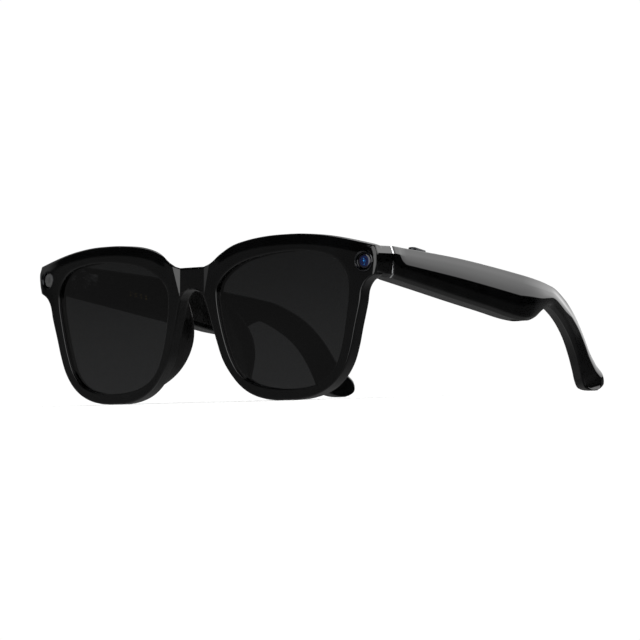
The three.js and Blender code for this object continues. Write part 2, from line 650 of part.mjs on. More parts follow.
// ---------------------------------------------------------------- electronics in the temples
// A block lying along the temple's middle line, offset up and out from it.
function inTemple(geometry, y, up = 0, out = 0) {
  const slope = Math.atan((middleZ(y + 5) - middleZ(y - 5)) / 10);
  const turn = Math.atan((middleX(y - 5) - middleX(y + 5)) / 10);
  return geometry.rotateX(slope).rotateZ(turn).translate(middleX(y) + out, y, middleZ(y) + up);
}
addPair("battery", inTemple(new THREE.BoxGeometry(3.2, 24, 8.6), 67, 0, 0.2), cell);
addPair("speaker", inTemple(pill(13, 7.5, 3.2, 3).rotateY(Math.PI / 2), 88.5, 1.2, 0), softBlack);
add("main_board", inTemple(new THREE.BoxGeometry(0.9, 20, 5), 37, -1.2, 0.4), circuit);
add("charge_board", onSide("right", inTemple(new THREE.BoxGeometry(0.9, 12.4, 6), 44.7, -0.4, 0.9)), circuit);
const MAGNETS = { front: 36, rear: 52.8 };
for (const [end, y] of Object.entries(MAGNETS)) {
  add(`charge_magnet_${end}`, onSide("right", inTemple(sideways(disc(1.4, -1, 1, 16)), y, 0.3, -0.9)), steel);
}

// ---------------------------------------------------------------- capture button
const FLANGE = { thickness: 0.6, wider: 1.2 };   // what keeps the button in its slot
const below = TEMPLE_WALL + GAP;                 // from the temple's top down to the flange
const buttonHeight = BUTTON.proud + below + FLANGE.thickness / 2;
add("capture_button", onTop(join(
  pill(BUTTON.length, BUTTON.width, buttonHeight).translate(0, 0, BUTTON.proud - buttonHeight / 2),
  pill(BUTTON.length + FLANGE.wider, BUTTON.width + FLANGE.wider, FLANGE.thickness).translate(
    0, 0, -below - FLANGE.thickness / 2))), darkMetal);
add("button_switch", onTop(new THREE.BoxGeometry(2.6, 4, 0.9).translate(0, 0, -below - 1.85)), darkMetal);

glasses.position.y = -LENGTH / 2;
export default glasses;
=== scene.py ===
"""Smart glasses: the finished surfaces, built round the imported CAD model.

Lengths are in millimetres in the part's own frame (y = 0 at the front of the bridge, z = 0 at the table)
until place() turns them into the row frame's metres.
"""

import math

import bmesh
import bpy
import numpy as np
from mathutils import Matrix, Vector


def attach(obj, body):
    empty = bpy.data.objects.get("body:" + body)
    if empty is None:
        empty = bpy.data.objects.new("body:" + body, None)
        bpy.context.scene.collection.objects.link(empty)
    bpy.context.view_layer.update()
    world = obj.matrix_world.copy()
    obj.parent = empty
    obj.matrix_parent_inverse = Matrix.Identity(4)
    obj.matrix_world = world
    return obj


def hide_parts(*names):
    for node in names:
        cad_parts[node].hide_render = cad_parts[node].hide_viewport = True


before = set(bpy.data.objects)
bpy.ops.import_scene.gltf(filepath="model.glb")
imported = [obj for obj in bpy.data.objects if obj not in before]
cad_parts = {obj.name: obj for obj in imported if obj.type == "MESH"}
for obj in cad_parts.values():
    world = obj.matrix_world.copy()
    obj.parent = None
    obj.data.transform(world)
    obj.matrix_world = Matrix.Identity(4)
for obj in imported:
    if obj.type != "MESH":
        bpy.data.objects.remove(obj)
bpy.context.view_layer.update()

MM = 0.001
HALF_LENGTH = 76.8  # the part's frame starts this far in front of the row frame's origin

# ------------------------------------------------------------------ driving dimensions
FRONT_CURVE, FRONT_TILT = 0.00146, 0.0204
WRAP_START, WRAP = 58.0, 0.0022
TILT_HEIGHT = 46.0
RIM_DEPTH = 4.6
LENS_RECESS, LENS_THICKNESS = 1.2, 2.0
LENS_CENTRE = np.array([37.3, 26.0])
BRIDGE_TOP = 44.6
CAMERA_X, CAMERA_Z = 69.9, 43.4
END_INNER, END_OUTER = 65.5, 74.585
END_BOTTOM, END_TOP = 38.0, 48.2
END_FRONT, END_BACK = 5.15, 14.5
ROLL_TOP = 44.2  # below this the endpiece's side rolls in
HINGE_X, HINGE_Y = 63.9, 15.9
TEMPLE_FRONT, TEMPLE_OUTER = 16.2, 73.0
BUTTON_Y, BUTTON_TILT = 33.4, -0.09
TOP_LIMIT, BACK_LIMIT = 53.495, 153.575  # just inside the CAD box
GRILLE_Y = 90.0

BROW = [(5.4, 44.6), (8.7, 45.8), (12.3, 48.4), (17.5, 50.9), (24, 52.4), (32, 53.3), (40, 53.5),
        (47, 53.3), (55, 52.4), (62, 51.1), (68.4, 49.6), (73.7, 48.28)]
END_BEVEL = [(73.7, 48.28), (74.57, 45.8)]
END = [(74.57, 45.8), (74.53, 43.4), (74.3, 41), (73.8, 38.9)]
END_SLOPE = 0.138  # the endpiece narrows by this much per millimetre towards the hinge
RIM_OUTSIDE = [(73.8, 38.9), (70.9, 37.2), (69.1, 34.6), (68.1, 30), (66.1, 23), (64.3, 16.4),
               (62.3, 11.3), (59.3, 7), (55.5, 3.8), (50.5, 1.5), (45, 0.3), (40, 0)]
RIM_INSIDE = [(33.5, 0), (29, 0.6), (23.5, 2.3), (19.2, 4.9), (15.2, 9), (12, 13.8), (9.6, 20.4),
              (7.7, 26.4), (6.2, 31.4), (5.2, 34.2)]
ARCH = [(5.2, 34.2), (3.6, 36.1), (1.9, 37), (0, 37.3)]
LENS_OUTLINE = [(10.7, 34.5), (12, 25), (15.6, 14), (19.5, 8.6), (26, 5.2), (36.6, 3.7), (47, 4.2),
                (53.6, 6.4), (57.8, 10.6), (60.6, 17.5), (62.6, 26), (63.9, 35), (63, 40.4), (58.8, 45),
                (50.5, 47.4), (41, 47.9), (30, 47), (20.5, 44.8), (14.2, 41.3), (11.3, 38)]
# Matching points of the temple's upper and lower edges, seen from the side, as (y, z).
EDGES = [((16.2, 48.3), (16.2, 37.9)), ((34, 46.8), (34, 34.6)), ((53, 45), (52, 31.2)),
         ((72, 42.6), (70, 27.9)), ((90, 40), (85, 25)), ((98, 38.8), (92.5, 24.4)),
         ((104.5, 37.8), (99, 25.6)), ((110, 36.8), (105, 28.1)), ((115, 35.8), (110.5, 29.2)),
         ((121, 33.6), (116.5, 26.9)), ((127.5, 30.4), (123, 23)), ((133.5, 26), (128.5, 18.3)),
         ((139, 20.3), (132.8, 12.6)), ((144, 13.8), (135.8, 7)), ((148.8, 9), (137.3, 3.6)),
         ((153, 5.6), (139.2, 1.3)), ((153.4, 2.4), (142, 0.4)), ((150.5, 0.6), (144.5, 0.1)),
         ((148.8, 0), (146, 0))]
SIDES = {"left": 1, "right": -1}


# ------------------------------------------------------------------ curves and numbers
def smoothstep(low, high, value):
    t = np.clip((value - low) / (high - low), 0, 1)
    return t * t * (3 - 2 * t)


def lerp(a, b, t):
    return a + (b - a) * t


def spline(points, per_span=24, loop=False):
    """Centripetal Catmull-Rom curve through the points, as a dense polyline."""
    p = np.array(points, float)
    if loop:
        p = np.vstack([p[-1:], p, p[:2]])
    else:
        p = np.vstack([2 * p[0] - p[1], p, 2 * p[-1] - p[-2]])
    out = []
    t = np.linspace(0, 1, per_span, endpoint=False)[:, None]
    for a, b, c, d in zip(p[:-3], p[1:-2], p[2:-1], p[3:]):
        da, db, dc = (max(np.linalg.norm(q - r), 1e-9) ** 0.5 for q, r in ((b, a), (c, b), (d, c)))
        m1 = ((b - a) / da - (c - a) / (da + db) + (c - b) / db) * db
        m2 = ((c - b) / db - (d - b) / (db + dc) + (d - c) / dc) * db
        out.append((2 * t**3 - 3 * t**2 + 1) * b + (t**3 - 2 * t**2 + t) * m1
                   + (3 * t**2 - 2 * t**3) * c + (t**3 - t**2) * m2)
    if not loop:
        out.append(p[-2:-1])
    return np.vstack(out)


def resample(line, spacing):
    """The polyline again with even steps of about that spacing, both ends kept."""
    step = np.linalg.norm(np.diff(line, axis=0), axis=1)
    along = np.concatenate([[0], np.cumsum(step)])
    count = max(2, int(round(along[-1] / spacing)) + 1)
    at = np.linspace(0, along[-1], count)
    return np.stack([np.interp(at, along, line[:, k]) for k in range(line.shape[1])], axis=1)


def front_surface(x, z):
    beyond = np.maximum(np.abs(x) - WRAP_START, 0)
    return FRONT_CURVE * x * x / 2 + WRAP * beyond * beyond + FRONT_TILT * (TILT_HEIGHT - z)


def rounded(corners, radii, arc=5, fill=3):
    """A convex polygon with its corners rounded, as a loop whose number of points never changes."""
    p = np.array(corners, float)
    longest = 0.48  # the most of a side that one corner may take up
    out = []
    for i, radius in enumerate(radii):
        following = (i + 1) % len(p)
        here, before, after = p[i], p[i - 1], p[following]
        to_a, to_b = before - here, after - here
        la, lb = np.linalg.norm(to_a), np.linalg.norm(to_b)
        to_a, to_b = to_a / la, to_b / lb
        half = math.acos(np.clip(to_a @ to_b, -1, 1)) / 2
        reach = min(radius / math.tan(half), longest * la, longest * lb)
        r = reach * math.tan(half)
        middle = here + (to_a + to_b) / np.linalg.norm(to_a + to_b) * r / math.sin(half)
        s, e = here + to_a * reach - middle, here + to_b * reach - middle
        swing = math.pi - 2 * half
        for k in range(arc + 1):
            t = k / arc
            v = (math.sin((1 - t) * swing) * s + math.sin(t * swing) * e) / math.sin(swing)
            out.append(middle + v)
        start, end = out[-1], after - to_b * min(radii[following], longest * lb)
        out += [lerp(start, end, (k + 1) / (fill + 1)) for k in range(fill)]
    return np.array(out)


# ------------------------------------------------------------------ making pieces
def place(points):
    """Points in millimetres in the part's frame, as metres in the row frame."""
    return (np.asarray(points, float).reshape(-1, 3) - [0, HALF_LENGTH, 0]) * MM


def add_object(name, mesh):
    obj = bpy.data.objects.new(name, mesh)
    bpy.context.scene.collection.objects.link(obj)
    return obj


def raw_object(name, points, faces):
    mesh = bpy.data.meshes.new(name)
    mesh.from_pydata(place(points).tolist(), [], [tuple(int(i) for i in f) for f in faces])
    mesh.update()
    return add_object(name, mesh)


def tidy_mesh(obj, merge=1e-7):
    """Merges doubled points and turns every face outwards."""
    bm = bmesh.new()
    bm.from_mesh(obj.data)
    bmesh.ops.remove_doubles(bm, verts=bm.verts, dist=merge)
    bmesh.ops.dissolve_degenerate(bm, edges=bm.edges, dist=1e-8)
    bmesh.ops.recalc_face_normals(bm, faces=bm.faces)
    bm.to_mesh(obj.data)
    bm.free()
    return obj


def shade(obj, degrees=32):
    for polygon in obj.data.polygons:
        polygon.use_smooth = True
    obj.data.set_sharp_from_angle(angle=math.radians(degrees))
    return obj


def bake_modifiers(obj):
    graph = bpy.context.evaluated_depsgraph_get()
    mesh = bpy.data.meshes.new_from_object(obj.evaluated_get(graph))
    obj.modifiers.clear()
    obj.data = mesh
    return obj


def boolean(obj, other, operation="DIFFERENCE"):
    modifier = obj.modifiers.new("boolean", "BOOLEAN")
    modifier.object = other
    modifier.operation = operation
    modifier.solver = "EXACT"
    bpy.context.view_layer.update()
    bake_modifiers(obj)
    bpy.data.objects.remove(other)
    return obj


def bevel(obj, width, segments=3, degrees=30):
    modifier = obj.modifiers.new("bevel", "BEVEL")
    modifier.width = width * MM
    modifier.segments = segments
    modifier.limit_method = "ANGLE"
    modifier.angle_limit = math.radians(degrees)
    bpy.context.view_layer.update()
    return bake_modifiers(obj)


def grid_faces(rows, n, joined=False):
    """Faces between closed loops of n points, numbered one loop after the next."""
    return [(i * n + j, i * n + (j + 1) % n, (i + 1) % rows * n + (j + 1) % n, (i + 1) % rows * n + j)
            for i in range(rows if joined else rows - 1) for j in range(n)]


def loft(sections, capped=True):
    """Vertices and faces of a skin over closed loops of points, one loop after the next."""
    s = np.asarray(sections, float)
    rows, n = s.shape[:2]
    faces = grid_faces(rows, n)
    if capped:
        faces += [tuple(range(n)), tuple((rows - 1) * n + j for j in reversed(range(n)))]
    return s.reshape(-1, 3), faces


def lathe(profile, sides=48):
    """A turned skin about the +Y axis from (radius, depth) pairs; a profile that starts and ends on the
    axis, or on itself, gives a closed body."""
    turn = np.linspace(0, 2 * math.pi, sides, endpoint=False)
    points = np.array([[r * math.cos(a), y, r * math.sin(a)] for r, y in profile for a in turn])
    return points, grid_faces(len(profile), sides)


def slab(length_x, length_y, length_z):
    x, y, z = length_x / 2, length_y / 2, length_z / 2
    points = np.array([[i, j, k] for k in (-z, z) for j in (-y, y) for i in (-x, x)])
    faces = [(0, 2, 3, 1), (4, 5, 7, 6), (0, 1, 5, 4), (2, 6, 7, 3), (0, 4, 6, 2), (1, 3, 7, 5)]
    return points, faces


def pill(length, width, height, arc=14):
    """A plate lying flat with round ends along Y."""
    radius = width / 2
    loop = []
    for sign, start in ((1, 0), (-1, math.pi)):
        for k in range(arc + 1):
            a = start + math.pi * k / arc
            loop.append((radius * math.cos(a), sign * (length / 2 - radius) + radius * math.sin(a)))
    loop = np.array(loop)
    return loft([[(x, y, z) for x, y in loop] for z in (-height / 2, height / 2)])


def turned_about(points, axis, degrees):
    return points @ np.array(Matrix.Rotation(math.radians(degrees), 3, axis)).T


def on_side(points, side):
    return points * [SIDES[side], 1, 1]


def solid(name, points, faces, side="left", merge=1e-7):
    """A closed body drawn for the wearer's left, and mirrored when it belongs on the right."""
    return tidy_mesh(raw_object(name, on_side(points, side), faces), merge)


def turned_body(name, profile, sides, axis, at, side="left", merge=1e-7):
    """A turned body at a place, with its axis standing up (axis X) or pointing outwards (axis Z)."""
    points, faces = lathe(profile, sides)
    points = turned_about(points, axis, {"X": 90, "Z": -90}[axis])
    return solid(name, points + at, faces, side, merge)


def block(name, size, centre, side):
    points, faces = slab(*size)
    return raw_object(name, on_side(points + np.array(centre), side), faces)


def finish_piece(obj, body, material, replaces=()):
    obj.data.materials.clear()
    obj.data.materials.append(material)
    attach(obj, body)
    if replaces:
        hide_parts(*replaces)
    return obj


# ------------------------------------------------------------------ materials
def add_node(tree, kind, inputs=None, settings=None):
    """A shader node with its settings, and its inputs linked to sockets or set to values."""
    made = tree.nodes.new(kind)
    for key, value in (settings or {}).items():
        setattr(made, key, value)
    for key, value in (inputs or {}).items():
        if isinstance(value, bpy.types.NodeSocket):
            tree.links.new(value, made.inputs[key])
        else:
            made.inputs[key].default_value = value
    return made


class Paint:
    """A node material built up from a Principled shader."""

    def __init__(self, name, **sockets):
        self.material = bpy.data.materials.new(name)
        self.material.use_nodes = True
        self.tree = self.material.node_tree
        self.shader = self.tree.nodes["Principled BSDF"]
        for key, value in sockets.items():
            self.shader.inputs[key.replace("_", " ")].default_value = value
        self.coordinates = self.tree.nodes.new("ShaderNodeTexCoord").outputs["Object"]

    def node(self, kind, inputs=None, **settings):
        return add_node(self.tree, kind, inputs, settings)

    def stretched(self, x, y, z):
        """The object's coordinates scaled, so that a pattern can be longer one way."""
        return self.node("ShaderNodeMapping", {"Vector": self.coordinates, "Scale": (x, y, z)}).outputs[0]

    def noise(self, size, detail=2.0, roughness=0.5, vector=None, distortion=0.0):
        """Noise whose features are about that many millimetres across."""
        return self.node("ShaderNodeTexNoise", {
            "Vector": vector or self.coordinates, "Scale": 1 / (size * MM), "Detail": detail,
            "Roughness": roughness, "Distortion": distortion}).outputs[0]

    def cells(self, size, feature="F1"):
        node = self.node("ShaderNodeTexVoronoi", {"Vector": self.coordinates, "Scale": 1 / (size * MM)},
                         feature=feature)
        return node.outputs["Distance"]

    def ranged(self, value, low, high, to_low, to_high, smooth=False):
        return self.node("ShaderNodeMapRange", {
            "Value": value, "From Min": low, "From Max": high, "To Min": to_low, "To Max": to_high},
            interpolation_type="SMOOTHSTEP" if smooth else "LINEAR").outputs[0]

    def math(self, operation, a, b=0.0):
        return self.node("ShaderNodeMath", {0: a, 1: b}, operation=operation).outputs[0]

    def height(self):
        return self.node("ShaderNodeSeparateXYZ", {0: self.coordinates}).outputs[2]

    def length(self, a, b):
        squares = self.math("ADD", self.math("MULTIPLY", a, a), self.math("MULTIPLY", b, b))
        return self.math("SQRT", squares)

    def ramp(self, value, *stops):
        node = self.node("ShaderNodeValToRGB", {"Fac": value})
        elements = node.color_ramp.elements
        while len(elements) < len(stops):
            elements.new(0.5)
        for element, (position, colour) in zip(elements, stops):
            element.position = position
            element.color = (*colour, 1)
        return node.outputs[0]

    def overlaid(self, factor, under, colour):
        """A plain colour laid over another, by a factor."""
        mix = self.node("ShaderNodeMix", {"Factor": factor}, data_type="RGBA")
        self.tree.links.new(under, mix.inputs["A"])
        mix.inputs["B"].default_value = (*colour, 1)
        return mix.outputs["Result"]

    def link(self, socket, value):
        self.tree.links.new(value, self.shader.inputs[socket])
        return self

    def bump(self, height, strength, distance):
        node = self.node("ShaderNodeBump", {
            "Height": height, "Strength": strength, "Distance": distance * MM})
        return self.link("Normal", node.outputs[0])


def grey(value, tint=0.0):
    return (value * (1 - tint), value, value * (1 + tint))


def gloss_black():
    """Injection-moulded and polished black plastic, with faint handling marks."""
    p = Paint("gloss_black_plastic", IOR=1.5)
    cloud = p.noise(9, 3, 0.55)
    p.link("Base Color", p.ramp(cloud, (0.3, grey(0.0008, 0.03)), (0.7, grey(0.0017, 0.05))))
    swirl = p.noise(0.5, 4, 0.6, p.stretched(1, 0.12, 1))
    p.link("Roughness", p.ranged(p.math("MULTIPLY", cloud, swirl), 0.2, 0.42, 0.01, 0.032))
    return p.bump(p.noise(1.6, 2, 0.4), 0.05, 0.012).material


def moulded(name, value, low, high, size=0.16, strength=0.35, depth=0.02):
    """Dark moulded plastic with a spark-eroded grain of that size."""
    p = Paint(name, IOR=1.48)
    grain = p.noise(size, 3, 0.6)
    wear = p.noise(6, 3, 0.5)
    p.link("Base Color", p.ramp(wear, (0.3, grey(value * 0.75)), (0.72, grey(value * 1.3))))
    p.link("Roughness", p.ranged(wear, 0.3, 0.7, low, high))
    return p.bump(grain, strength, depth).material


def metal(name, colour, low, high, vector=(1, 1, 1), size=0.25, strength=0.08):
    """Metal with a fine finish drawn out along one way, and rougher where it is handled."""
    p = Paint(name, Metallic=1.0)
    p.material.diffuse_color = (*colour, 1)
    brushed = p.noise(size, 4, 0.65, p.stretched(*vector))
    cloud = p.noise(3, 2, 0.5)
    p.link("Base Color", p.ramp(cloud, (0.25, tuple(c * 0.86 for c in colour)), (0.75, colour)))
    mixed = p.math("ADD", p.math("MULTIPLY", brushed, 0.7), p.math("MULTIPLY", cloud, 0.3))
    p.link("Roughness", p.ranged(mixed, 0.3, 0.7, low, high))
    return p.bump(brushed, strength, 0.006).material


def tinted_lens():
    """Smoke-grey lens with faint haze, with a painted reflection that makes it a little lighter towards the
    bottom, for the glow of the ground below.
    """
    p = Paint("tinted_lens", IOR=1.5, Transmission_Weight=1.0)
    painted_glow_height = p.math("ADD", p.height(), p.math("MULTIPLY", p.noise(14, 2, 0.5), 0.004))
    # Painted reflection: the colour grows lighter towards the bottom, standing in for the brighter ground the
    # lens reflects.
    tint = p.ranged(painted_glow_height, 0.052, 0.002, 0.0, 1.0)
    p.link("Base Color", p.ramp(tint, (0.0, grey(0.0058, 0.02)), (1.0, grey(0.0148, 0.02))))
    return p.link("Roughness", p.ranged(p.noise(2.2, 3, 0.6), 0.35, 0.75, 0.0, 0.003)).material


def around_camera(p, centre):
    """Distance from the camera's axis, in millimetres, and the offset across and up from it."""
    offset = p.node("ShaderNodeVectorMath", {0: p.coordinates, 1: centre}, operation="SUBTRACT").outputs[0]
    split = p.node("ShaderNodeSeparateXYZ", {0: offset}).outputs
    across = p.math("MULTIPLY", split[0], 1 / MM / math.cos(SEAT_ANGLE))
    up = p.math("MULTIPLY", split[2], 1 / MM)
    return p.length(across, up), across, up


def camera_lens():
    """The camera's front element: a dark pupil inside blue and violet coating rings, with three small painted
    highlights standing for the glints that the inner elements reflect."""
    p = Paint("camera_lens_coated", Roughness=0.03, IOR=1.5)
    distance, across, up = around_camera(p, tuple(place(CAMERA_CENTRE)[0]))
    ring = p.ramp(p.math("DIVIDE", distance, 2.28), (0.0, (0.003, 0.014, 0.06)), (0.2, (0.005, 0.024, 0.1)),
                  (0.34, (0.002, 0.006, 0.03)), (0.46, (0.008, 0.005, 0.018)), (0.6, (0.003, 0.012, 0.065)),
                  (0.74, (0.003, 0.004, 0.016)), (0.86, (0.008, 0.006, 0.012)), (1.0, (0.003, 0.003, 0.004)))
    # Three small bright cyan spots are painted over the rings as painted highlights, not a colour of the
    # glass.
    spots = None
    for x, z, radius in ((-0.3, 0.78, 0.2), (-0.3, 0.1, 0.32), (-0.15, -1.0, 0.18)):
        near = p.length(p.math("SUBTRACT", across, x), p.math("SUBTRACT", up, z))
        painted_glint = p.ranged(near, radius, radius * 0.35, 0.0, 1.0, smooth=True)
        spots = painted_glint if spots is None else p.math("MAXIMUM", spots, painted_glint)
    return p.link("Base Color", p.overlaid(spots, ring, (0.03, 0.24, 0.6))).material


def light_window():
    """Frosted grey diffuser over the indicator light, darker in the middle where the light pipe is."""
    p = Paint("indicator_diffuser", IOR=1.49)
    distance, _, _ = around_camera(p, tuple(place(CAMERA_CENTRE * [-1, 1, 1])[0]))
    p.link("Base Color", p.ramp(p.math("DIVIDE", distance, 2.5), (0.0, grey(0.034)), (0.4, grey(0.036)),
                                (0.5, grey(0.05)), (0.9, grey(0.053)), (1.0, grey(0.03))))
    p.link("Roughness", p.ranged(p.noise(0.3, 3, 0.6), 0.3, 0.7, 0.28, 0.45))
    return p.bump(p.noise(0.09, 2, 0.5), 0.2, 0.01).material


def circuit_board():
    """Green solder mask over fine traces, with bare gold pads."""
    p = Paint("circuit_board", IOR=1.5)
    trace = p.node("ShaderNodeTexBrick", {
        "Vector": p.coordinates, "Scale": 420.0, "Color1": (0.006, 0.06, 0.022, 1),
        "Color2": (0.01, 0.09, 0.035, 1), "Mortar": (0.02, 0.14, 0.06, 1), "Mortar Size": 0.03}).outputs[0]
    pads = p.ranged(p.cells(1.1), 0.16, 0.13, 0.0, 1.0)
    p.link("Base Color", p.overlaid(pads, trace, (0.75, 0.5, 0.18)))
    p.link("Metallic", pads)
    p.link("Roughness", p.ranged(p.noise(0.8), 0.3, 0.7, 0.25, 0.45))
    return p.bump(pads, 0.3, 0.03).material


def cell_foil():
    """The battery's crinkled aluminium pouch."""
    p = Paint("battery_foil", Metallic=0.9)
    wrinkle = p.noise(2.5, 4, 0.6, distortion=0.6)
    p.link("Base Color", p.ramp(wrinkle, (0.3, (0.3, 0.31, 0.33)), (0.7, (0.5, 0.51, 0.53))))
    p.link("Roughness", p.ranged(wrinkle, 0.3, 0.7, 0.25, 0.5))
    return p.bump(wrinkle, 0.4, 0.12).material


def flex_copper():
    """Amber polyimide over parallel copper traces."""
    p = Paint("flex_cable", IOR=1.6)
    pitch = 0.32 * MM
    trace = p.math("SINE", p.math("MULTIPLY", p.height(), 2 * math.pi / pitch))
    p.link("Base Color", p.ramp(p.ranged(trace, -1, 1, 0, 1), (0.35, (0.25, 0.09, 0.015)),
                                (0.6, (0.5, 0.2, 0.06))))
    p.link("Roughness", p.ranged(p.noise(1.5), 0.3, 0.7, 0.22, 0.4))
    return p.bump(trace, 0.2, 0.02).material


SEAT_ANGLE = math.atan(FRONT_CURVE * CAMERA_X + 2 * WRAP * (CAMERA_X - WRAP_START))
CAMERA_CENTRE = np.array([CAMERA_X, front_surface(CAMERA_X, CAMERA_Z), CAMERA_Z])

GLOSS = gloss_black()
SATIN = moulded("satin_cover_plastic", 0.003, 0.07, 0.13, strength=0.05)
PAD = moulded("nose_pad_plastic", 0.002, 0.06, 0.14, size=0.5, strength=0.04)
SPEAKER_PLASTIC = moulded("speaker_housing", 0.012, 0.45, 0.65)
LENS = tinted_lens()
CAMERA_GLASS = camera_lens()
WINDOW = light_window()
CHROME = metal("bright_trim_chrome", (0.82, 0.83, 0.84), 0.02, 0.06, (1, 1, 0.1), strength=0.03)
BEZEL = metal("bezel_metal", (0.062, 0.063, 0.066), 0.08, 0.18, (1, 1, 1), 0.1)
DARK = metal("dark_trim_metal", (0.032, 0.033, 0.035), 0.12, 0.26, (1, 0.15, 1))
STEEL = metal("hinge_steel", (0.56, 0.56, 0.57), 0.16, 0.34, (1, 1, 0.08), 0.2)
GOLD = metal("contact_gold", (0.83, 0.6, 0.25), 0.12, 0.26, (1, 1, 1), 0.08)
BOARD = circuit_board()
FOIL = cell_foil()
FLEX = flex_copper()


# ------------------------------------------------------------------ the front
OUTER_ROUND, INNER_ROUND, BACK_ROUND = 0.55, 0.3, 0.7
GROOVE_FRONT, GROOVE_BACK, GROOVE_OFFSET = 1.12, 3.28, 0.75
FACE_ROWS, BACK_ROWS, ARC_ROWS = 12, 8, 6
BROW_BAND = 3.7  # height of the bevelled band along the brow
BAND_BLEND = 0.9  # half the height over which the band's lower edge is eased
BROW_LEAN = 0.16  # how steeply it leans back
PANEL_HALF = 5.3  # half width of the bridge's sunken panel
FACET_TOP, FACET_BOTTOM = (8.25, 45.7), (5.45, 35.6)  # outer edge of the facet beside it
FACET_SLOPE = 0.26


def half_outline(spacing=0.8):
    """The outline of one half of the front, clockwise from the top of the bridge, closed along x = 0."""
    flat_top = np.array([[0, BRIDGE_TOP], BROW[0]])
    flat_foot = np.array([RIM_OUTSIDE[-1], RIM_INSIDE[0]])
    lines = [flat_top, spline(BROW), np.array(END_BEVEL), spline(END), spline(RIM_OUTSIDE), flat_foot,
             spline(RIM_INSIDE), spline(ARCH), np.array([[0, ARCH[-1][1]], [0, BRIDGE_TOP]])]
    runs = [resample(np.asarray(line, float), spacing)[:-1] for line in lines]
    on_plane = np.concatenate([np.full(len(r), i == len(runs) - 1) for i, r in enumerate(runs)])
    points = np.vstack(runs)
    brow = np.concatenate([np.full(len(r), i < 2) for i, r in enumerate(runs)])
    end = np.concatenate([np.full(len(r), i in (2, 3)) for i, r in enumerate(runs)])
    return points, on_plane, brow, end


def inward_normals(points, on_plane):
    ahead = np.roll(points, -1, axis=0) - points
    back = points - np.roll(points, 1, axis=0)
    tangent = ahead / np.linalg.norm(ahead, axis=1)[:, None] + back / np.linalg.norm(back, axis=1)[:, None]
    top, bottom = 0, int(np.argmax(on_plane))
    tangent[top], tangent[bottom] = (1, 0), (-1, 0)
    normal = np.stack([tangent[:, 1], -tangent[:, 0]], axis=1)
    kernel = np.array([0.25, 0.5, 0.25])
    for _ in range(2):
        smooth = sum(k * np.roll(normal, s, axis=0) for k, s in zip(kernel, (-1, 0, 1)))
        smooth[[top, bottom]] = normal[[top, bottom]]
        normal = smooth
    normal /= np.maximum(np.linalg.norm(normal, axis=1), 1e-9)[:, None]
    normal[[top, bottom]] = (0, -1), (0, 1)
    normal[on_plane] = 0
    normal[bottom] = (0, 1)
    return normal


lens_line = spline(LENS_OUTLINE, loop=True)
lens_polar = lens_line - LENS_CENTRE
lens_angle = np.arctan2(lens_polar[:, 1], lens_polar[:, 0])
order = np.argsort(lens_angle)
lens_angle, lens_radius = lens_angle[order], np.linalg.norm(lens_polar, axis=1)[order]


def lens_edge(angle, offset=0.0):
    """Point of the lens outline, grown by an offset, in each direction from the lens's middle."""
    radius = np.interp(angle, lens_angle, lens_radius, period=2 * math.pi) + offset
    return LENS_CENTRE + np.stack([np.cos(angle), np.sin(angle)], axis=-1) * np.asarray(radius)[..., None]


def facet_edge(z):
    """Half width, at a height, of the sunken bridge with the facets beside it."""
    share = (z - FACET_BOTTOM[1]) / (FACET_TOP[1] - FACET_BOTTOM[1])
    return np.maximum(lerp(FACET_BOTTOM[0], FACET_TOP[0], share), PANEL_HALF + 0.05)


def bridge_sink(x, z):
    """How far the bridge's face lies behind the rims' faces."""
    edge = facet_edge(z)
    return FACET_SLOPE * np.clip(edge - np.maximum(np.abs(x), PANEL_HALF), 0, None)


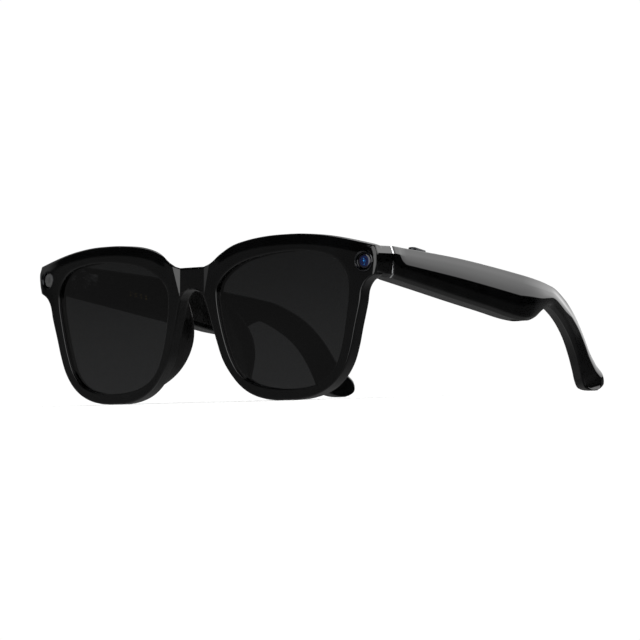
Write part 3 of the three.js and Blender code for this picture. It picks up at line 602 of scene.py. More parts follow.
def front_half():
    """One half of the front: a skin of closed loops that runs from the lens groove over the face, round
    the outline and across the back to the groove again."""
    outer, on_plane, brow, end = half_outline()
    normal = inward_normals(outer, on_plane)
    angle = np.unwrap(np.arctan2(*(outer - LENS_CENTRE).T[::-1]))
    step = np.minimum(np.diff(np.append(angle, angle[0] - 2 * math.pi)), -0.0012)
    step *= -2 * math.pi / step.sum()
    angle = angle[0] + np.concatenate([[0], np.cumsum(step)[:-1]])

    across = outer[:, 0]
    shoulder = smoothstep(6.5, 8.5, across) * smoothstep(17, 12, across)
    draft = (0.3 * smoothstep(26, 9, across) + 0.2 * shoulder) * brow + END_SLOPE * end
    for _ in range(3):
        draft = (np.roll(draft, 1) + 2 * draft + np.roll(draft, -1)) / 4
    rows = []

    def tapered(inset, depth):
        return outer + normal * (inset + draft * max(depth - 0.5, 0))[:, None]

    def add_row(plan, depth, front=False):
        rows.append((plan, depth, front))

    def between(share, offset, inset, depth, front=False):
        add_row(lerp(lens_edge(angle, offset), tapered(inset, depth), share), depth, front)

    turn = [(math.sin(a), math.cos(a)) for a in np.linspace(0, math.pi / 2, ARC_ROWS)]
    for offset, depth in ((0, GROOVE_BACK), (GROOVE_OFFSET, GROOVE_BACK), (GROOVE_OFFSET, GROOVE_FRONT),
                          (0, GROOVE_FRONT)):
        add_row(lens_edge(angle, offset), depth)
    for s, c in turn:
        add_row(lens_edge(angle, INNER_ROUND * (1 - c)), INNER_ROUND * (1 - s))
    for k in range(1, FACE_ROWS):
        between(k / FACE_ROWS, INNER_ROUND, OUTER_ROUND, 0, True)
    for s, c in turn:
        depth = OUTER_ROUND * (1 - c)
        add_row(tapered(OUTER_ROUND * (1 - s), depth), depth, True)
    for depth in (1.6, 2.8):
        add_row(tapered(0, depth), depth)
    for s, c in turn:
        depth = RIM_DEPTH - BACK_ROUND * (1 - s)
        add_row(tapered(BACK_ROUND * (1 - c), depth), depth)
    for k in range(1, BACK_ROWS):
        between(1 - k / BACK_ROWS, INNER_ROUND, BACK_ROUND, RIM_DEPTH)
    for s, c in turn:
        add_row(lens_edge(angle, INNER_ROUND * (1 - s)), RIM_DEPTH - INNER_ROUND * (1 - c))

    top_line = outer[brow]
    grid = []
    for plan, depth, is_front in rows:
        x, z = plan[:, 0], plan[:, 1]
        y = front_surface(x, z) + depth
        if is_front:
            band = BROW_BAND - (np.interp(x, top_line[:, 0], top_line[:, 1]) - z)
            band = np.clip(band, -BAND_BLEND, None)
            eased = np.where(band > BAND_BLEND, band, (band + BAND_BLEND) ** 2 / (4 * BAND_BLEND))
            y = y + BROW_LEAN * eased * smoothstep(8, 14, x)
        grid.append(np.stack([x, y, np.minimum(z, TOP_LIMIT)], axis=1))
    points = np.array(grid).reshape(-1, 3)
    on_seam = np.abs(points[:, 0]) < 1e-6
    faces = [f for f in grid_faces(len(grid), len(outer), joined=True) if not all(on_seam[v] for v in f)]
    return points, faces


def carve_bridge(obj):
    """Cuts the panel's and the facets' edges into the front face and sinks what lies between them."""
    bm = bmesh.new()
    bm.from_mesh(obj.data)
    along = Vector((FACET_TOP[0] - FACET_BOTTOM[0], 0, FACET_TOP[1] - FACET_BOTTOM[1])).normalized()
    planes = []
    for sign in (1, -1):
        planes.append((Vector((sign * PANEL_HALF, 0, 40)), Vector((sign, 0, 0))))
        planes.append((Vector((sign * FACET_BOTTOM[0], 0, FACET_BOTTOM[1])),
                       Vector((sign * along.z, 0, -along.x))))

    def depth_of(vertex):
        x, y, z = vertex.co / MM
        return y + HALF_LENGTH - front_surface(x, z)

    def in_bridge(face):
        c = face.calc_center_median() / MM
        return abs(c.x) < 10.5 and c.z > 33 and face.normal.y < -0.2

    for point, across in planes:
        chosen = [f for f in bm.faces if in_bridge(f)]
        geometry = list({v for f in chosen for v in f.verts} | {e for f in chosen for e in f.edges}) + chosen
        bmesh.ops.bisect_plane(bm, geom=geometry, plane_co=Vector(place(point)[0]), plane_no=across,
                               dist=1e-7)
    bm.normal_update()
    moved = {v for f in bm.faces if in_bridge(f) for v in f.verts if depth_of(v) < OUTER_ROUND + 0.05}

    def creased(edge):
        if not all(v in moved for v in edge.verts):
            return False
        ends = [v.co / MM for v in edge.verts]
        on_panel = all(abs(abs(c.x) - PANEL_HALF) < 1e-3 for c in ends)
        return on_panel or all(abs(abs(c.x) - facet_edge(c.z)) < 2e-3 for c in ends)

    for edge in bm.edges:
        edge.smooth = not creased(edge)
    for v in moved:
        v.co.y += float(bridge_sink(v.co.x / MM, v.co.z / MM)) * MM
    bm.to_mesh(obj.data)
    bm.free()
    return obj


def seated(points):
    """A piece drawn about the +Y axis, set square into the left endpiece's curved face."""
    return turned_about(points, "Z", math.degrees(SEAT_ANGLE)) + CAMERA_CENTRE


def bore(radius, side):
    points, faces = lathe([(0, -3), (radius, -3), (radius, 2.3), (0, 2.3)], 64)
    return solid("bore", seated(points), faces, side, 1e-6)


def rolled_in(z):
    """How far the endpiece's side has rolled in at a height."""
    return 0.3 * (np.clip(ROLL_TOP - z, 0, None) / 5) ** 2


def end_outline(outer, bottom, inset=0.0):
    """Section of the endpiece: a flat bevel along the upper outer edge, and a side that rolls under."""
    left, right, low, high = END_INNER + inset, outer - inset, bottom + inset, END_TOP - inset
    corners = [(left, low), (right - 1.2, low), (right, low + 1.1), (right, END_TOP - 2.4),
               (right - 0.87, high), (left, high)]
    loop = rounded(corners, (0.8, 0.6, 0.7, 0.22, 0.35, 0.8), fill=8)
    lean = 0.012 * np.clip(45.6 - loop[:, 1], 0, None)
    share = np.clip((loop[:, 0] - END_INNER) / (outer - END_INNER), 0, 1)
    loop[:, 0] -= (rolled_in(loop[:, 1]) + lean) * share**4
    return loop


def end_block(side):
    """The endpiece behind the rim: a block with a flat bevel along its upper outer edge."""
    sections = []
    for y in (5.24, 5.4, 5.7, *np.linspace(6.2, 14.2, 14), 14.38, END_BACK):
        share = (y - RIM_DEPTH) / (END_BACK - RIM_DEPTH)
        bottom = lerp(38.9, END_BOTTOM, smoothstep(0.0, 0.8, share))
        loop = end_outline(END_OUTER - END_SLOPE * (y - END_FRONT), bottom)
        middle = loop.mean(axis=0)
        loop = middle + (loop - middle) * (0.97 if y == END_BACK else 1)
        sections.append([(x, y, z) for x, z in loop])
    points, faces = loft(sections)
    return solid(f"endpiece_block_{side}", points, faces, side)


half_points, half_faces = front_half()
mirrored = on_side(half_points, "right")
all_faces = half_faces + [tuple(i + len(half_points) for i in reversed(f)) for f in half_faces]
front = tidy_mesh(raw_object("front_shell", np.vstack([half_points, mirrored]), all_faces), 2e-6)
carve_bridge(front)
BORES = {"left": 3.52, "right": 3.27}
for side, radius in BORES.items():
    boolean(front, bore(radius, side))
creases = [edge.index for edge in front.data.edges if edge.use_edge_sharp]
shade(front, 38)
for i in creases:
    front.data.edges[i].use_edge_sharp = True
finish_piece(front, "front", GLOSS, ["front_frame"])
for side, radius in BORES.items():
    endpiece = boolean(end_block(side), bore(radius, side))
    finish_piece(shade(endpiece, 25), "front", GLOSS)


# ------------------------------------------------------------------ lenses
def lens_piece(side):
    rim = lens_edge(np.linspace(-math.pi, math.pi, 160, endpoint=False), 0.6)
    back = LENS_RECESS + LENS_THICKNESS
    rings = [lerp(LENS_CENTRE, rim, share) for share in (*np.linspace(0, 0.97, 22)[1:], 0.99)]
    rows = [(ring, LENS_RECESS) for ring in rings] + [(rim, LENS_RECESS + 0.15), (rim, back - 0.15)]
    rows += [(ring, back) for ring in reversed(rings)]
    grid = np.array([[(x, front_surface(x, z) + depth, z) for x, z in ring] for ring, depth in rows])
    count, n = grid.shape[:2]
    points, faces = list(grid.reshape(-1, 3)), grid_faces(count, n)
    x, z = LENS_CENTRE
    for row, depth in ((0, LENS_RECESS), (count - 1, back)):
        points.append((x, front_surface(x, z) + depth, z))
        faces += [(row * n + j, row * n + (j + 1) % n, len(points) - 1) for j in range(n)]
    obj = solid(f"lens_plate_{side}", np.array(points), faces, side)
    return finish_piece(shade(obj, 40), "front", LENS, [f"lens_{side}"])


for side in SIDES:
    lens_piece(side)


# ------------------------------------------------------------------ camera and indicator
def seated_piece(name, profile, side, material, replaces):
    points, faces = lathe(profile, 72)
    obj = solid(name, seated(points), faces, side)
    return finish_piece(shade(obj, 28), "front", material, replaces)


seated_piece("camera_ring", [(2.34, 1.9), (2.34, 1.0), (2.4, 0.78), (2.5, 0.6), (2.6, 0.54), (2.66, 0.36),
                             (2.7, 0.04), (2.82, -0.2), (2.98, -0.32), (3.16, -0.32), (3.32, -0.2),
                             (3.42, 0.02), (3.45, 0.3), (3.45, 1.9), (2.34, 1.9)],
             "left", BEZEL, ["camera_bezel"])
seated_piece("camera_front_glass", [(0, 0.5), (0.6, 0.503), (1.2, 0.514), (1.7, 0.53), (2.05, 0.56),
                                    (2.2, 0.62), (2.28, 0.74), (2.28, 1.5), (0, 1.5)],
             "left", CAMERA_GLASS, ["camera_glass"])
seated_piece("camera_tube", [(0, 2.0), (1.6, 2.0), (1.7, 2.6), (1.9, 3.0), (2.0, 3.5), (2.1, 3.6),
                             (2.1, 6.2), (0, 6.2)],
             "left", SATIN, ["camera_barrel"])
seated_piece("indicator_ring", [(2.62, 1.8), (2.62, 0.6), (2.66, 0.35), (2.76, 0.12), (2.9, 0.0),
                                (3.04, -0.02), (3.15, 0.06), (3.2, 0.2), (3.2, 1.8), (2.62, 1.8)],
             "right", DARK, ["indicator_bezel"])
seated_piece("indicator_diffuser", [(0, 0.5), (0.7, 0.5), (0.78, 0.54), (1.5, 0.55), (2.2, 0.6), (2.4, 0.72),
                                    (2.4, 1.6), (0, 1.6)],
             "right", WINDOW, ["indicator_window"])


# ------------------------------------------------------------------ trim bands
def trim_band(side):
    """A hollow metal band: its outer skin, then its inner one, with softened edges."""
    def skin(inset, sign):
        edge = ((14.8, 0.06), (14.82, 0.02), (14.87, 0), (15.5, 0), (15.56, 0.03), (15.6, 0.1))
        return [[(x, y, z) for x, z in end_outline(73.2, END_BOTTOM, inset + sign * draw)]
                for y, draw in edge]

    rows = skin(0.0, 1) + skin(1.6, -1)[::-1]
    points, faces = loft([*rows, rows[0]], capped=False)
    obj = solid(f"trim_band_{side}", points, faces, side, 1e-6)
    return finish_piece(shade(obj, 25), "front", CHROME, [f"endpiece_trim_{side}"])


for side in SIDES:
    trim_band(side)


# ------------------------------------------------------------------ temples
upper_edge = spline([u for u, _ in EDGES], 40)
lower_edge = spline([v for _, v in EDGES], 40)
COVER_FROM, COVER_TO = 24.0, 99.0
COVER_MARGIN, COVER_SINK = 1.8, 1.15


def inward(y):
    return 0.03 * (y - TEMPLE_FRONT) + 8.5 * smoothstep(88, 152, y)


def thickness(y):
    return lerp(7.6, 5.6, smoothstep(60, 125, y))


def station(t):
    """Middle (y, z) and half vector up to the upper edge, at a share t along the temple."""
    at = t * (len(upper_edge) - 1)
    index = np.arange(len(upper_edge))
    up, low = (np.array([np.interp(at, index, edge[:, k]) for k in (0, 1)])
               for edge in (upper_edge, lower_edge))
    return (up + low) / 2, (up - low) / 2


def share_at(y):
    low, high = 0.0, 1.0
    for _ in range(40):
        t = (low + high) / 2
        if station(t)[0][0] < y:
            low = t
        else:
            high = t
    return low


def edge_height(y, sign):
    middle, half = station(share_at(y))
    return middle[1] + sign * half[1]


def middle_x(y):
    return TEMPLE_OUTER - inward(y) - thickness(y) / 2


def temple_section(t, sunk):
    """One loop of the temple's skin. The inner face carries two step lines for the cover's seat."""
    middle, half = station(t)
    y, h = middle[0], np.linalg.norm(half)
    a = thickness(y) * (1 - 0.35 * smoothstep(0.93, 1, t)) / 2
    narrow, short = min(1, a / 2.8), min(1.0, h / 2.0)
    hook = smoothstep(104, 128, y)
    drop = lerp(min(2.4, 0.5 * h), 0.62 * h, hook)
    drop = lerp(drop, 0.95 * h, smoothstep(0.86, 1.0, t))
    lift = lerp(min(1.15, 0.4 * h), 0.3 * h, hook)
    bevel_width = lerp(0.87, 1.6, hook) * min(1, h / 2.5)
    corners = [(-a, -h), (a - 1.2 * short * narrow, -h), (a, -h + lift), (a, h - drop),
               (a - bevel_width * narrow, h), (-a, h)]
    inner_round = lerp(0.6, 1.3, hook) * short
    soft = lerp(0.3, 9.0, smoothstep(17.5, 30, y))
    radii = [inner_round, 0.7, lerp(0.8, 1.2, hook), soft, lerp(0.45, 1.2, hook), inner_round]
    fill = 8
    loop = rounded(corners, [min(r, 0.45 * h) for r in radii], arc=6, fill=fill)[:-fill]
    flat = h - min(inner_round, 0.45 * h) - 0.06
    seat = max(h - COVER_MARGIN, 0.3 * h)
    sill = (COVER_SINK if sunk else 0.0) - a
    inner = [(-a, flat), (-a, seat), (sill, seat - 0.02), (sill, seat * 0.5), (sill, 0),
             (sill, -seat * 0.5), (sill, 0.02 - seat), (-a, -seat), (-a, -flat)]
    loop = np.vstack([loop, inner])
    across, along = loop.T
    # The outer face leaves the endpiece flat and crowns behind it, more so towards the ear, and on the
    # hook it turns down a little instead.
    crown = 0.5 * smoothstep(TEMPLE_FRONT, 23.5, y) ** 2 + 0.9 * smoothstep(85, 125, y)
    crown *= 1 - smoothstep(122, 138, y)
    ridge = lerp(-0.03, -0.35, np.clip((y - 20) / 85, 0, 1))
    rolled = rolled_in(END_BOTTOM + h + along) * (1 - smoothstep(TEMPLE_FRONT, 24, y))
    lean = 0.118 * (min(y, 18.2) - TEMPLE_FRONT) + 0.165 * smoothstep(18.2, 21.0, y)
    turned = 0.11 * smoothstep(122, 138, y) * (h - along)
    outward = np.clip(across / a, 0, 1) ** 2
    x = across - (crown * (along / h - ridge) ** 2 + rolled + lean + turned) * outward
    up = half / h
    own_y = y + up[0] * along
    # The inner face and the hook curve with each point's own place, which keeps their faces upright.
    own = np.maximum(np.clip(-across / a, 0, 1) * smoothstep(30, 50, y), smoothstep(124, 138, y))
    centre = TEMPLE_OUTER - inward(lerp(y, own_y, own)) - thickness(y) / 2
    return np.stack([centre + x, own_y, middle[1] + up[1] * along], axis=1)


# The first loops of a temple, as share along it: scale. They are drawn in to soften its front edge.
FRONT_EDGE = {0.0: 0.94, 0.0006: 0.975, 0.0015: 0.993}


def temple_rows():
    start, stop = share_at(COVER_FROM), share_at(COVER_TO)
    tiny = 2e-5
    rows = [(t, False) for t in (*FRONT_EDGE, 0.003, *np.linspace(0.006, start - 2 * tiny, 12))]
    rows += [(t, True) for t in np.linspace(start, stop, 64)]
    rows += [(t, False) for t in np.linspace(stop + tiny, 0.93, 90)]
    return rows + [(t, False) for t in np.linspace(0.933, 1.0, 22)]


def temple_shell(side):
    sections = []
    for t, sunk in temple_rows():
        loop = temple_section(t, sunk)
        middle = loop.mean(axis=0)
        sections.append(middle + (loop - middle) * FRONT_EDGE.get(t, 1.0))
    points, faces = loft(sections)
    points[:, 1] = np.minimum(points[:, 1], BACK_LIMIT)
    obj = solid(f"temple_body_{side}", points, faces, side)
    grille, grille_faces = pill(8.0, 3.2, 3.4)
    grille = grille + [middle_x(GRILLE_Y), GRILLE_Y, edge_height(GRILLE_Y, -1)]
    boolean(obj, solid("grille_slot", grille, grille_faces, side))
    if side == "left":
        boolean(obj, button_cutter())
    return finish_piece(shade(obj, 24), f"{side}_temple", GLOSS, [f"temple_shell_{side}"])


def on_top(points):
    tilted = turned_about(points, "X", math.degrees(math.atan(BUTTON_TILT)))
    return tilted + [middle_x(BUTTON_Y), BUTTON_Y, edge_height(BUTTON_Y, 1)]


def button_cutter():
    points, faces = pill(7.9, 3.3, 6.4)
    return solid("button_slot", on_top(points), faces)


def cover_plate(side):
    """The plate in the temple's inner face, with holes for the contacts on the right."""
    sections = []
    gap = 0.0014
    for t in np.linspace(share_at(COVER_FROM) + gap, share_at(COVER_TO) - gap, 60):
        middle, half = station(t)
        h = np.linalg.norm(half)
        reach = h - COVER_MARGIN - 0.13
        face = -thickness(middle[0]) / 2 + 0.15
        corners = [(face, -reach), (face + 0.95, -reach), (face + 0.95, reach), (face, reach)]
        fill = 4
        loop = rounded(corners, (0.22, 0.1, 0.1, 0.22), arc=4, fill=fill)[:-fill]
        # Points close to both roundings keep the shading of the flat face flat.
        loop = np.vstack([loop, [(face, k * (reach - 0.27)) for k in (1, 0.6, 0.2, -0.2, -0.6, -1)]])
        up = half / h
        sections.append(np.stack([middle_x(middle[0]) + loop[:, 0], middle[0] + up[0] * loop[:, 1],
                                  middle[1] + up[1] * loop[:, 1]], axis=1))
    points, faces = loft(sections)
    obj = solid(f"temple_plate_{side}", points, faces, side)
    if side == "right":
        for i in range(4):
            profile = [(0, -2), (1.02, -2), (1.02, 3), (0, 3)]
            boolean(obj, turned_body("contact_hole", profile, 40, "Z", contact_place(i), side, 1e-6))
    return finish_piece(shade(obj, 28), f"{side}_temple", SATIN, [f"temple_cover_{side}"])


def contact_place(i):
    along = 2.65 * i
    y, z = 41.0 + along, 38.7 - 0.165 * along
    return np.array([TEMPLE_OUTER - inward(y) - thickness(y), y, z])


def contact(i):
    """A sprung round pad with a shallow dished face."""
    profile = [(0, -0.02), (0.3, -0.02), (0.36, -0.04), (0.44, -0.08), (0.62, -0.1), (0.78, -0.08),
               (0.87, -0.01), (0.9, 0.08), (0.9, 0.9), (0, 0.9)]
    obj = turned_body(f"contact_pin_{i + 1}", profile, 40, "Z", contact_place(i), "right")
    return finish_piece(shade(obj, 40), "right_temple", GOLD, [f"charge_contact_{i + 1}"])


def grille_plate(side):
    """The speaker outlet under the temple: a thin plate with three rows of holes."""
    rise = edge_height(GRILLE_Y + 3, -1) - edge_height(GRILLE_Y - 3, -1)
    slope = math.degrees(math.atan2(rise, 6))
    seat = np.array([middle_x(GRILLE_Y), GRILLE_Y, edge_height(GRILLE_Y, -1) + 0.6])
    points, faces = pill(7.4, 2.6, 0.5)
    obj = solid(f"grille_plate_{side}", turned_about(points, "X", slope) + seat, faces, side)
    bevel(obj, 0.12, 2)
    ring, ring_faces = lathe([(0, -1), (0.2, -1), (0.2, 1), (0, 1)], 10)
    ring = turned_about(ring, "X", 90)
    pitch = 0.68
    spots = [(row * pitch, k * pitch + (pitch / 2 if row else 0)) for row in (-1, 0, 1) for k in range(-4, 5)]
    holes = [ring + [across, along, 0] for across, along in spots if abs(along) <= 2.9]
    faces = [tuple(v + i * len(ring) for v in f) for i in range(len(holes)) for f in ring_faces]
    drills = turned_about(np.vstack(holes), "X", slope) + seat
    boolean(obj, solid("drills", drills, faces, side, 1e-6))
    return finish_piece(shade(obj, 35), f"{side}_temple", DARK, [f"speaker_grille_{side}"])


for side in SIDES:
    temple_shell(side)
    cover_plate(side)
    grille_plate(side)
for i in range(4):
    contact(i)


def button_piece():
    """The capture button: a raised pill with a dished top, stepped down towards the back."""
    sections = []
    for z, shrink in ((-1.75, 0), (0.75, 0), (0.98, 0.05), (1.1, 0.14), (1.17, 0.28), (1.2, 0.5),
                      (1.14, 0.75), (1.1, 1.0)):
        ring, _ = pill(7.4 - 2 * shrink, 2.8 - 2 * shrink, 1)
        ring = ring[: len(ring) // 2].copy()
        ring[:, 2] = z
        sections.append(ring)
    stack = np.array(sections)
    z = stack[:, :, 2]
    back = smoothstep(-1.0, 0.2, stack[:, :, 1])
    stack[:, :, 2] = np.where(z > 0, z * lerp(1, 0.62, back), z)
    points, faces = loft(stack)
    obj = solid("button_cap", on_top(points), faces)
    return finish_piece(shade(obj, 35), "button", DARK, ["capture_button"])


button_piece()


# ------------------------------------------------------------------ nose pads
def pad_middle(share):
    x = 9.3 + 3.2 * share + 4.6 * share * share
    z = lerp(31.0, 7.0, share)
    return x, front_surface(x, z) + RIM_DEPTH, z


nasal_line = spline(RIM_INSIDE)
PAD_FROM, PAD_TO = -0.13, 1.03
# Points round the section: (x from the rim's wall, x from the pad's middle, y at the wall, y at the pad)
PAD_SECTION = [(0.4, -3.1, 0, 2.0), (0.8, -3.7, 0, 3.9), (1.2, -2.5, 0.1, 5.3), (2.0, 1.6, 0.1, 7.3),
               (2.6, 4.4, 0, 7.7), (2.9, 4.6, 0, 6.6), (3.0, 1.9, -0.2, 3.4)]


def nose_pad(side):
    """The pad and the flank it grows from, swept back off the rim's nasal wall as one smooth body."""
    sections = []
    for share in np.linspace(PAD_FROM, PAD_TO, 60):
        x, back, z = pad_middle(share)
        fade = math.sin(math.pi * np.clip((share - PAD_FROM) / (PAD_TO - PAD_FROM), 0, 1)) ** 0.75
        wall = float(np.interp(z, nasal_line[:, 1], nasal_line[:, 0]))
        flank = [(lerp(wall + wall_x, x + pad_x, fade), lerp(back + wall_y, back + pad_y, fade))
                 for wall_x, pad_x, wall_y, pad_y in PAD_SECTION]
        loop = spline([(wall + 0.45, back - 1.6), (wall + 0.25, back - 0.4), *flank,
                       (wall + 3.1, back - 0.5), (wall + 2.8, back - 1.6)], 6, loop=True)
        sections.append([(u, v, z) for u, v in loop])
    points, faces = loft(sections)
    obj = solid(f"nose_rest_{side}", points, faces, side)
    return finish_piece(shade(obj, 70), "front", PAD, [f"nose_pad_{side}"])


for side in SIDES:
    nose_pad(side)


# ------------------------------------------------------------------ hinges
KNUCKLE_LOW, KNUCKLE_HIGH, KNUCKLE_TALL = 39.6, 46.6, 1.9
LEAF_X, LEAF_MIDDLE = 64.7, 43.1


def knuckle(low, high, side):
    tall = high - low
    profile = [(0.72, 0), (0.78, 0), (1.36, 0), (1.46, 0.06), (1.5, 0.16), (1.5, tall - 0.16),
               (1.46, tall - 0.06), (1.36, tall), (0.78, tall), (0.72, tall), (0.72, 0)]
    return turned_body("knuckle", profile, 48, "X", [HINGE_X, HINGE_Y, low], side)


def leaf_plate(name, size, centre, side, corner=0.18):
    return bevel(tidy_mesh(block(name, size, centre, side)), corner, 3)


def hinge(side):
    """Both leaves with their knuckles, the pin between them, and a screw through each leaf."""
    temple, temple_x = f"{side}_temple", LEAF_X - 0.15
    frame_leaf = leaf_plate(f"hinge_leaf_front_{side}", (1.0, 4.2, 7.0), (LEAF_X, 12.4, LEAF_MIDDLE), side)
    for low in (KNUCKLE_LOW, KNUCKLE_HIGH - KNUCKLE_TALL):
        arm = leaf_plate("arm", (1.0, 2.4, KNUCKLE_TALL), (LEAF_X, 14.7, low + KNUCKLE_TALL / 2), side, 0.08)
        boolean(frame_leaf, arm, "UNION")
        boolean(frame_leaf, knuckle(low, low + KNUCKLE_TALL, side), "UNION")
    finish_piece(shade(frame_leaf, 30), "front", STEEL, [f"hinge_frame_leaf_{side}"])

    reach = (KNUCKLE_HIGH - KNUCKLE_LOW - 2 * KNUCKLE_TALL) / 2 - 0.2
    temple_leaf = leaf_plate(f"hinge_leaf_temple_{side}", (1.0, 5.8, 5.8), (temple_x, 21.1, 42.7), side)
    arm = leaf_plate("arm", (1.0, 2.6, 2 * reach), (temple_x, 17.4, LEAF_MIDDLE), side, 0.08)
    boolean(temple_leaf, arm, "UNION")
    boolean(temple_leaf, knuckle(LEAF_MIDDLE - reach, LEAF_MIDDLE + reach, side), "UNION")
    finish_piece(shade(temple_leaf, 30), temple, STEEL, [f"hinge_temple_leaf_{side}"])

    profile = [(0, -0.3), (0.55, -0.3), (0.65, -0.2), (0.65, 7.2), (1.14, 7.2), (1.2, 7.3), (1.14, 7.6),
               (0.95, 7.8), (0.6, 7.9), (0, 7.9)]
    pin = turned_body(f"hinge_screw_{side}", profile, 40, "X", [HINGE_X, HINGE_Y, KNUCKLE_LOW], side)
    boolean(pin, block("slot", (0.28, 3.0, 0.5), (HINGE_X, HINGE_Y, 47.55), side))
    finish_piece(shade(pin, 30), "front", STEEL, [f"hinge_pin_{side}"])

    profile = [(0, -1.3), (0.6, -1.28), (0.9, -1.2), (1.06, -1.06), (1.1, -0.9), (1.1, -0.7), (0.5, -0.7),
               (0.5, 1.4), (0, 1.4)]
    for where, body, x, y, z in (("frame", "front", LEAF_X - 0.1, 11.2, LEAF_MIDDLE),
                                 ("temple", temple, LEAF_X - 0.25, 21.7, 42.7)):
        screw = turned_body(f"leaf_screw_{where}_{side}", profile, 36, "Z", [x, y, z], side)
        for size in ((0.6, 0.26, 1.7), (0.6, 1.7, 0.26)):
            boolean(screw, block("slot", size, (x - 1.2, y, z), side))
        finish_piece(shade(screw, 30), body, STEEL, [f"hinge_{where}_screw_{side}"])


for side in SIDES:
    hinge(side)

# ------------------------------------------------------------------ CAD nodes that stay
KEPT = {"battery": FOIL, "speaker_left": SPEAKER_PLASTIC, "speaker_right": SPEAKER_PLASTIC,
        "main_board": BOARD, "charge_board": BOARD, "camera_board": BOARD, "indicator_board": BOARD,
        "charge_magnet": STEEL, "temple_core": STEEL, "button_switch": DARK, "brow_cover": SATIN,
        "brow_flex": FLEX, "endpiece_cover": SATIN}
for name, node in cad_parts.items():
    match = [key for key in KEPT if name.startswith(key)]
    if match:
        node.data.materials.clear()
        node.data.materials.append(KEPT[match[0]])

# ------------------------------------------------------------------ floor
floor_profile = [(radius, 0) for radius in (0, 60, 120, 170, 210)]
floor = turned_body("floor", floor_profile, 96, "X", [0, HALF_LENGTH, -0.05], merge=1e-6)
paper = Paint("floor_paper", Roughness=0.9, Specular_IOR_Level=0.0)
paper.link("Base Color", paper.ramp(paper.noise(40, 3, 0.5), (0.3, grey(0.9)), (0.7, grey(0.93))))
floor.data.materials.append(paper.material)
for polygon in floor.data.polygons:
    polygon.use_smooth = True
floor.visible_glossy = False


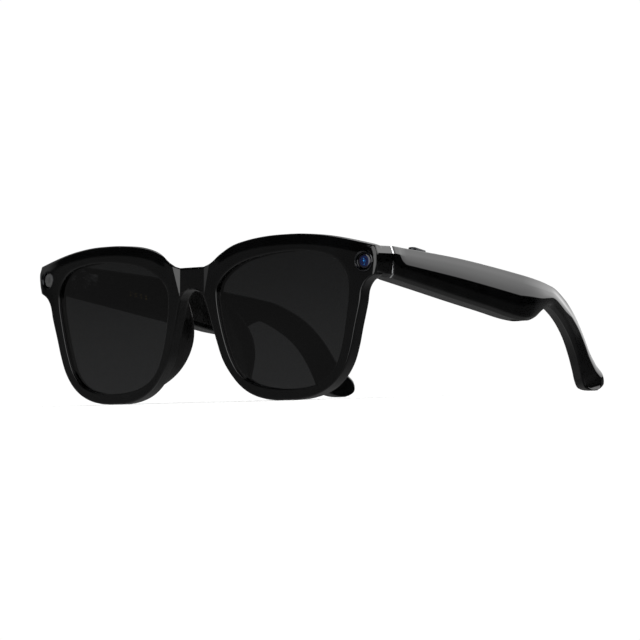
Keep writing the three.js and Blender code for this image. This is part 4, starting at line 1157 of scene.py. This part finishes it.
# ------------------------------------------------------------------ studio light
def studio_world():
    """A white room for the eye, and soft panels on a dark ground for what the gloss reflects."""
    world = bpy.data.worlds.new("studio")
    bpy.context.scene.world = world
    world.use_nodes = True
    world.cycles.sampling_method = "NONE"
    tree = world.node_tree
    background = tree.nodes["Background"]

    def node(kind, inputs=None, **settings):
        return add_node(tree, kind, inputs, settings).outputs[0]

    def calc(operation, a, b=0.0):
        return node("ShaderNodeMath", {0: a, 1: b}, operation=operation)

    def step(value, low, high):
        return node("ShaderNodeMapRange", {"Value": value, "From Min": low, "From Max": high, "To Min": 0.0,
                                           "To Max": 1.0}, interpolation_type="SMOOTHSTEP")

    direction = tree.nodes.new("ShaderNodeTexCoord").outputs["Generated"]
    split = tree.nodes.new("ShaderNodeSeparateXYZ")
    tree.links.new(direction, split.inputs[0])
    x, y, z = split.outputs
    # Bearing in degrees: 0 at the front of the glasses, 90 at the wearer's left, 180 behind.
    turned = calc("MULTIPLY", calc("ARCTAN2", x, calc("MULTIPLY", y, -1.0)), 180 / math.pi)
    bearing = calc("ADD", turned, calc("MULTIPLY", calc("LESS_THAN", turned, -150.0), 360.0))
    height = calc("MULTIPLY", calc("ARCSINE", z), 180 / math.pi)

    def window(value, low, high, soft):
        return calc("MULTIPLY", step(value, low - soft, low + soft), step(value, high + soft, high - soft))

    def panel(level, bearings, heights, soft_side, soft_top):
        shape = calc("MULTIPLY", window(bearing, *bearings, soft_side), window(height, *heights, soft_top))
        return calc("MULTIPLY", shape, level)

    # Glow from the ground as (height where it starts, height where it is full, level).
    below = [(0.5, -1.0, 0.03), (-2.0, -14.0, 0.07), (-14.0, -45.0, 0.13), (-45.0, -80.0, 0.5)]
    total = calc("MULTIPLY", step(height, 0.0, 12.0), 0.006)
    for start, end, level in below:
        total = calc("ADD", total, calc("MULTIPLY", step(height, start, end), level))
    # Panels as (level, bearings, heights, softness of the sides, softness of the top and foot).
    panels = [
        (1.3, (130, 200), (4.2, 76), 3.0, 0.25),      # large softbox behind the wearer's left: sharp edge
        (0.75, (130, 200), (6.5, 76), 3.0, 2.0),      # and the glow inside it
        (2.2, (86, 130), (16, 76), 3.0, 2.0),         # its wing, which stops higher up
        (2.6, (-15.5, 60), (-7, 40), 1.3, 4.0),       # key light beside the camera
        (0.36, (-125, -66), (-12, 50), 3.0, 6.0),     # fill on the wearer's right
        (0.11, (-62, -5), (-40, 10), 6.0, 3.0),       # table edge in front
        (0.08, (162, 205), (-30, 3.5), 4.0, 0.5),     # wall far behind
        (0.9, (-148, -128), (14, 60), 4.0, 4.0),      # strip behind the wearer's right
    ]
    for level, bearings, heights, soft_side, soft_top in panels:
        total = calc("ADD", total, panel(level, bearings, heights, soft_side, soft_top))

    path = tree.nodes.new("ShaderNodeLightPath")
    seen = calc("MULTIPLY", path.outputs["Is Glossy Ray"], calc("SUBTRACT", 1.0,
                                                               path.outputs["Is Transmission Ray"]))
    room = calc("ADD", calc("MULTIPLY", path.outputs["Is Diffuse Ray"], 0.3), 1.02)
    level = calc("ADD", calc("MULTIPLY", seen, total), calc("MULTIPLY", calc("SUBTRACT", 1.0, seen), room))
    tree.links.new(level, background.inputs["Strength"])
    background.inputs["Color"].default_value = (1, 1, 1, 1)


studio_world()

scene = bpy.context.scene
scene.view_settings.view_transform = "Standard"
scene.view_settings.look = "None"

# ------------------------------------------------------------------ camera
CAMERA_AT = (0.66852, -0.82344, 0.00342)
RIGHT = Vector((0.7717, 0.6353, -0.0282)).normalized()
BACK = Vector((0.63494, -0.77223, -0.02258))
BACK = (BACK - RIGHT * BACK.dot(RIGHT)).normalized()
UP = BACK.cross(RIGHT)
lens = bpy.data.cameras.new("camera")
lens.lens = 170.874
lens.sensor_width = 36
lens.clip_start, lens.clip_end = 0.05, 20
eye = bpy.data.objects.new("camera", lens)
scene.collection.objects.link(eye)
turn = Matrix((RIGHT, UP, BACK)).transposed()
eye.matrix_world = Matrix.Translation(CAMERA_AT) @ turn.to_4x4()
scene.camera = eye
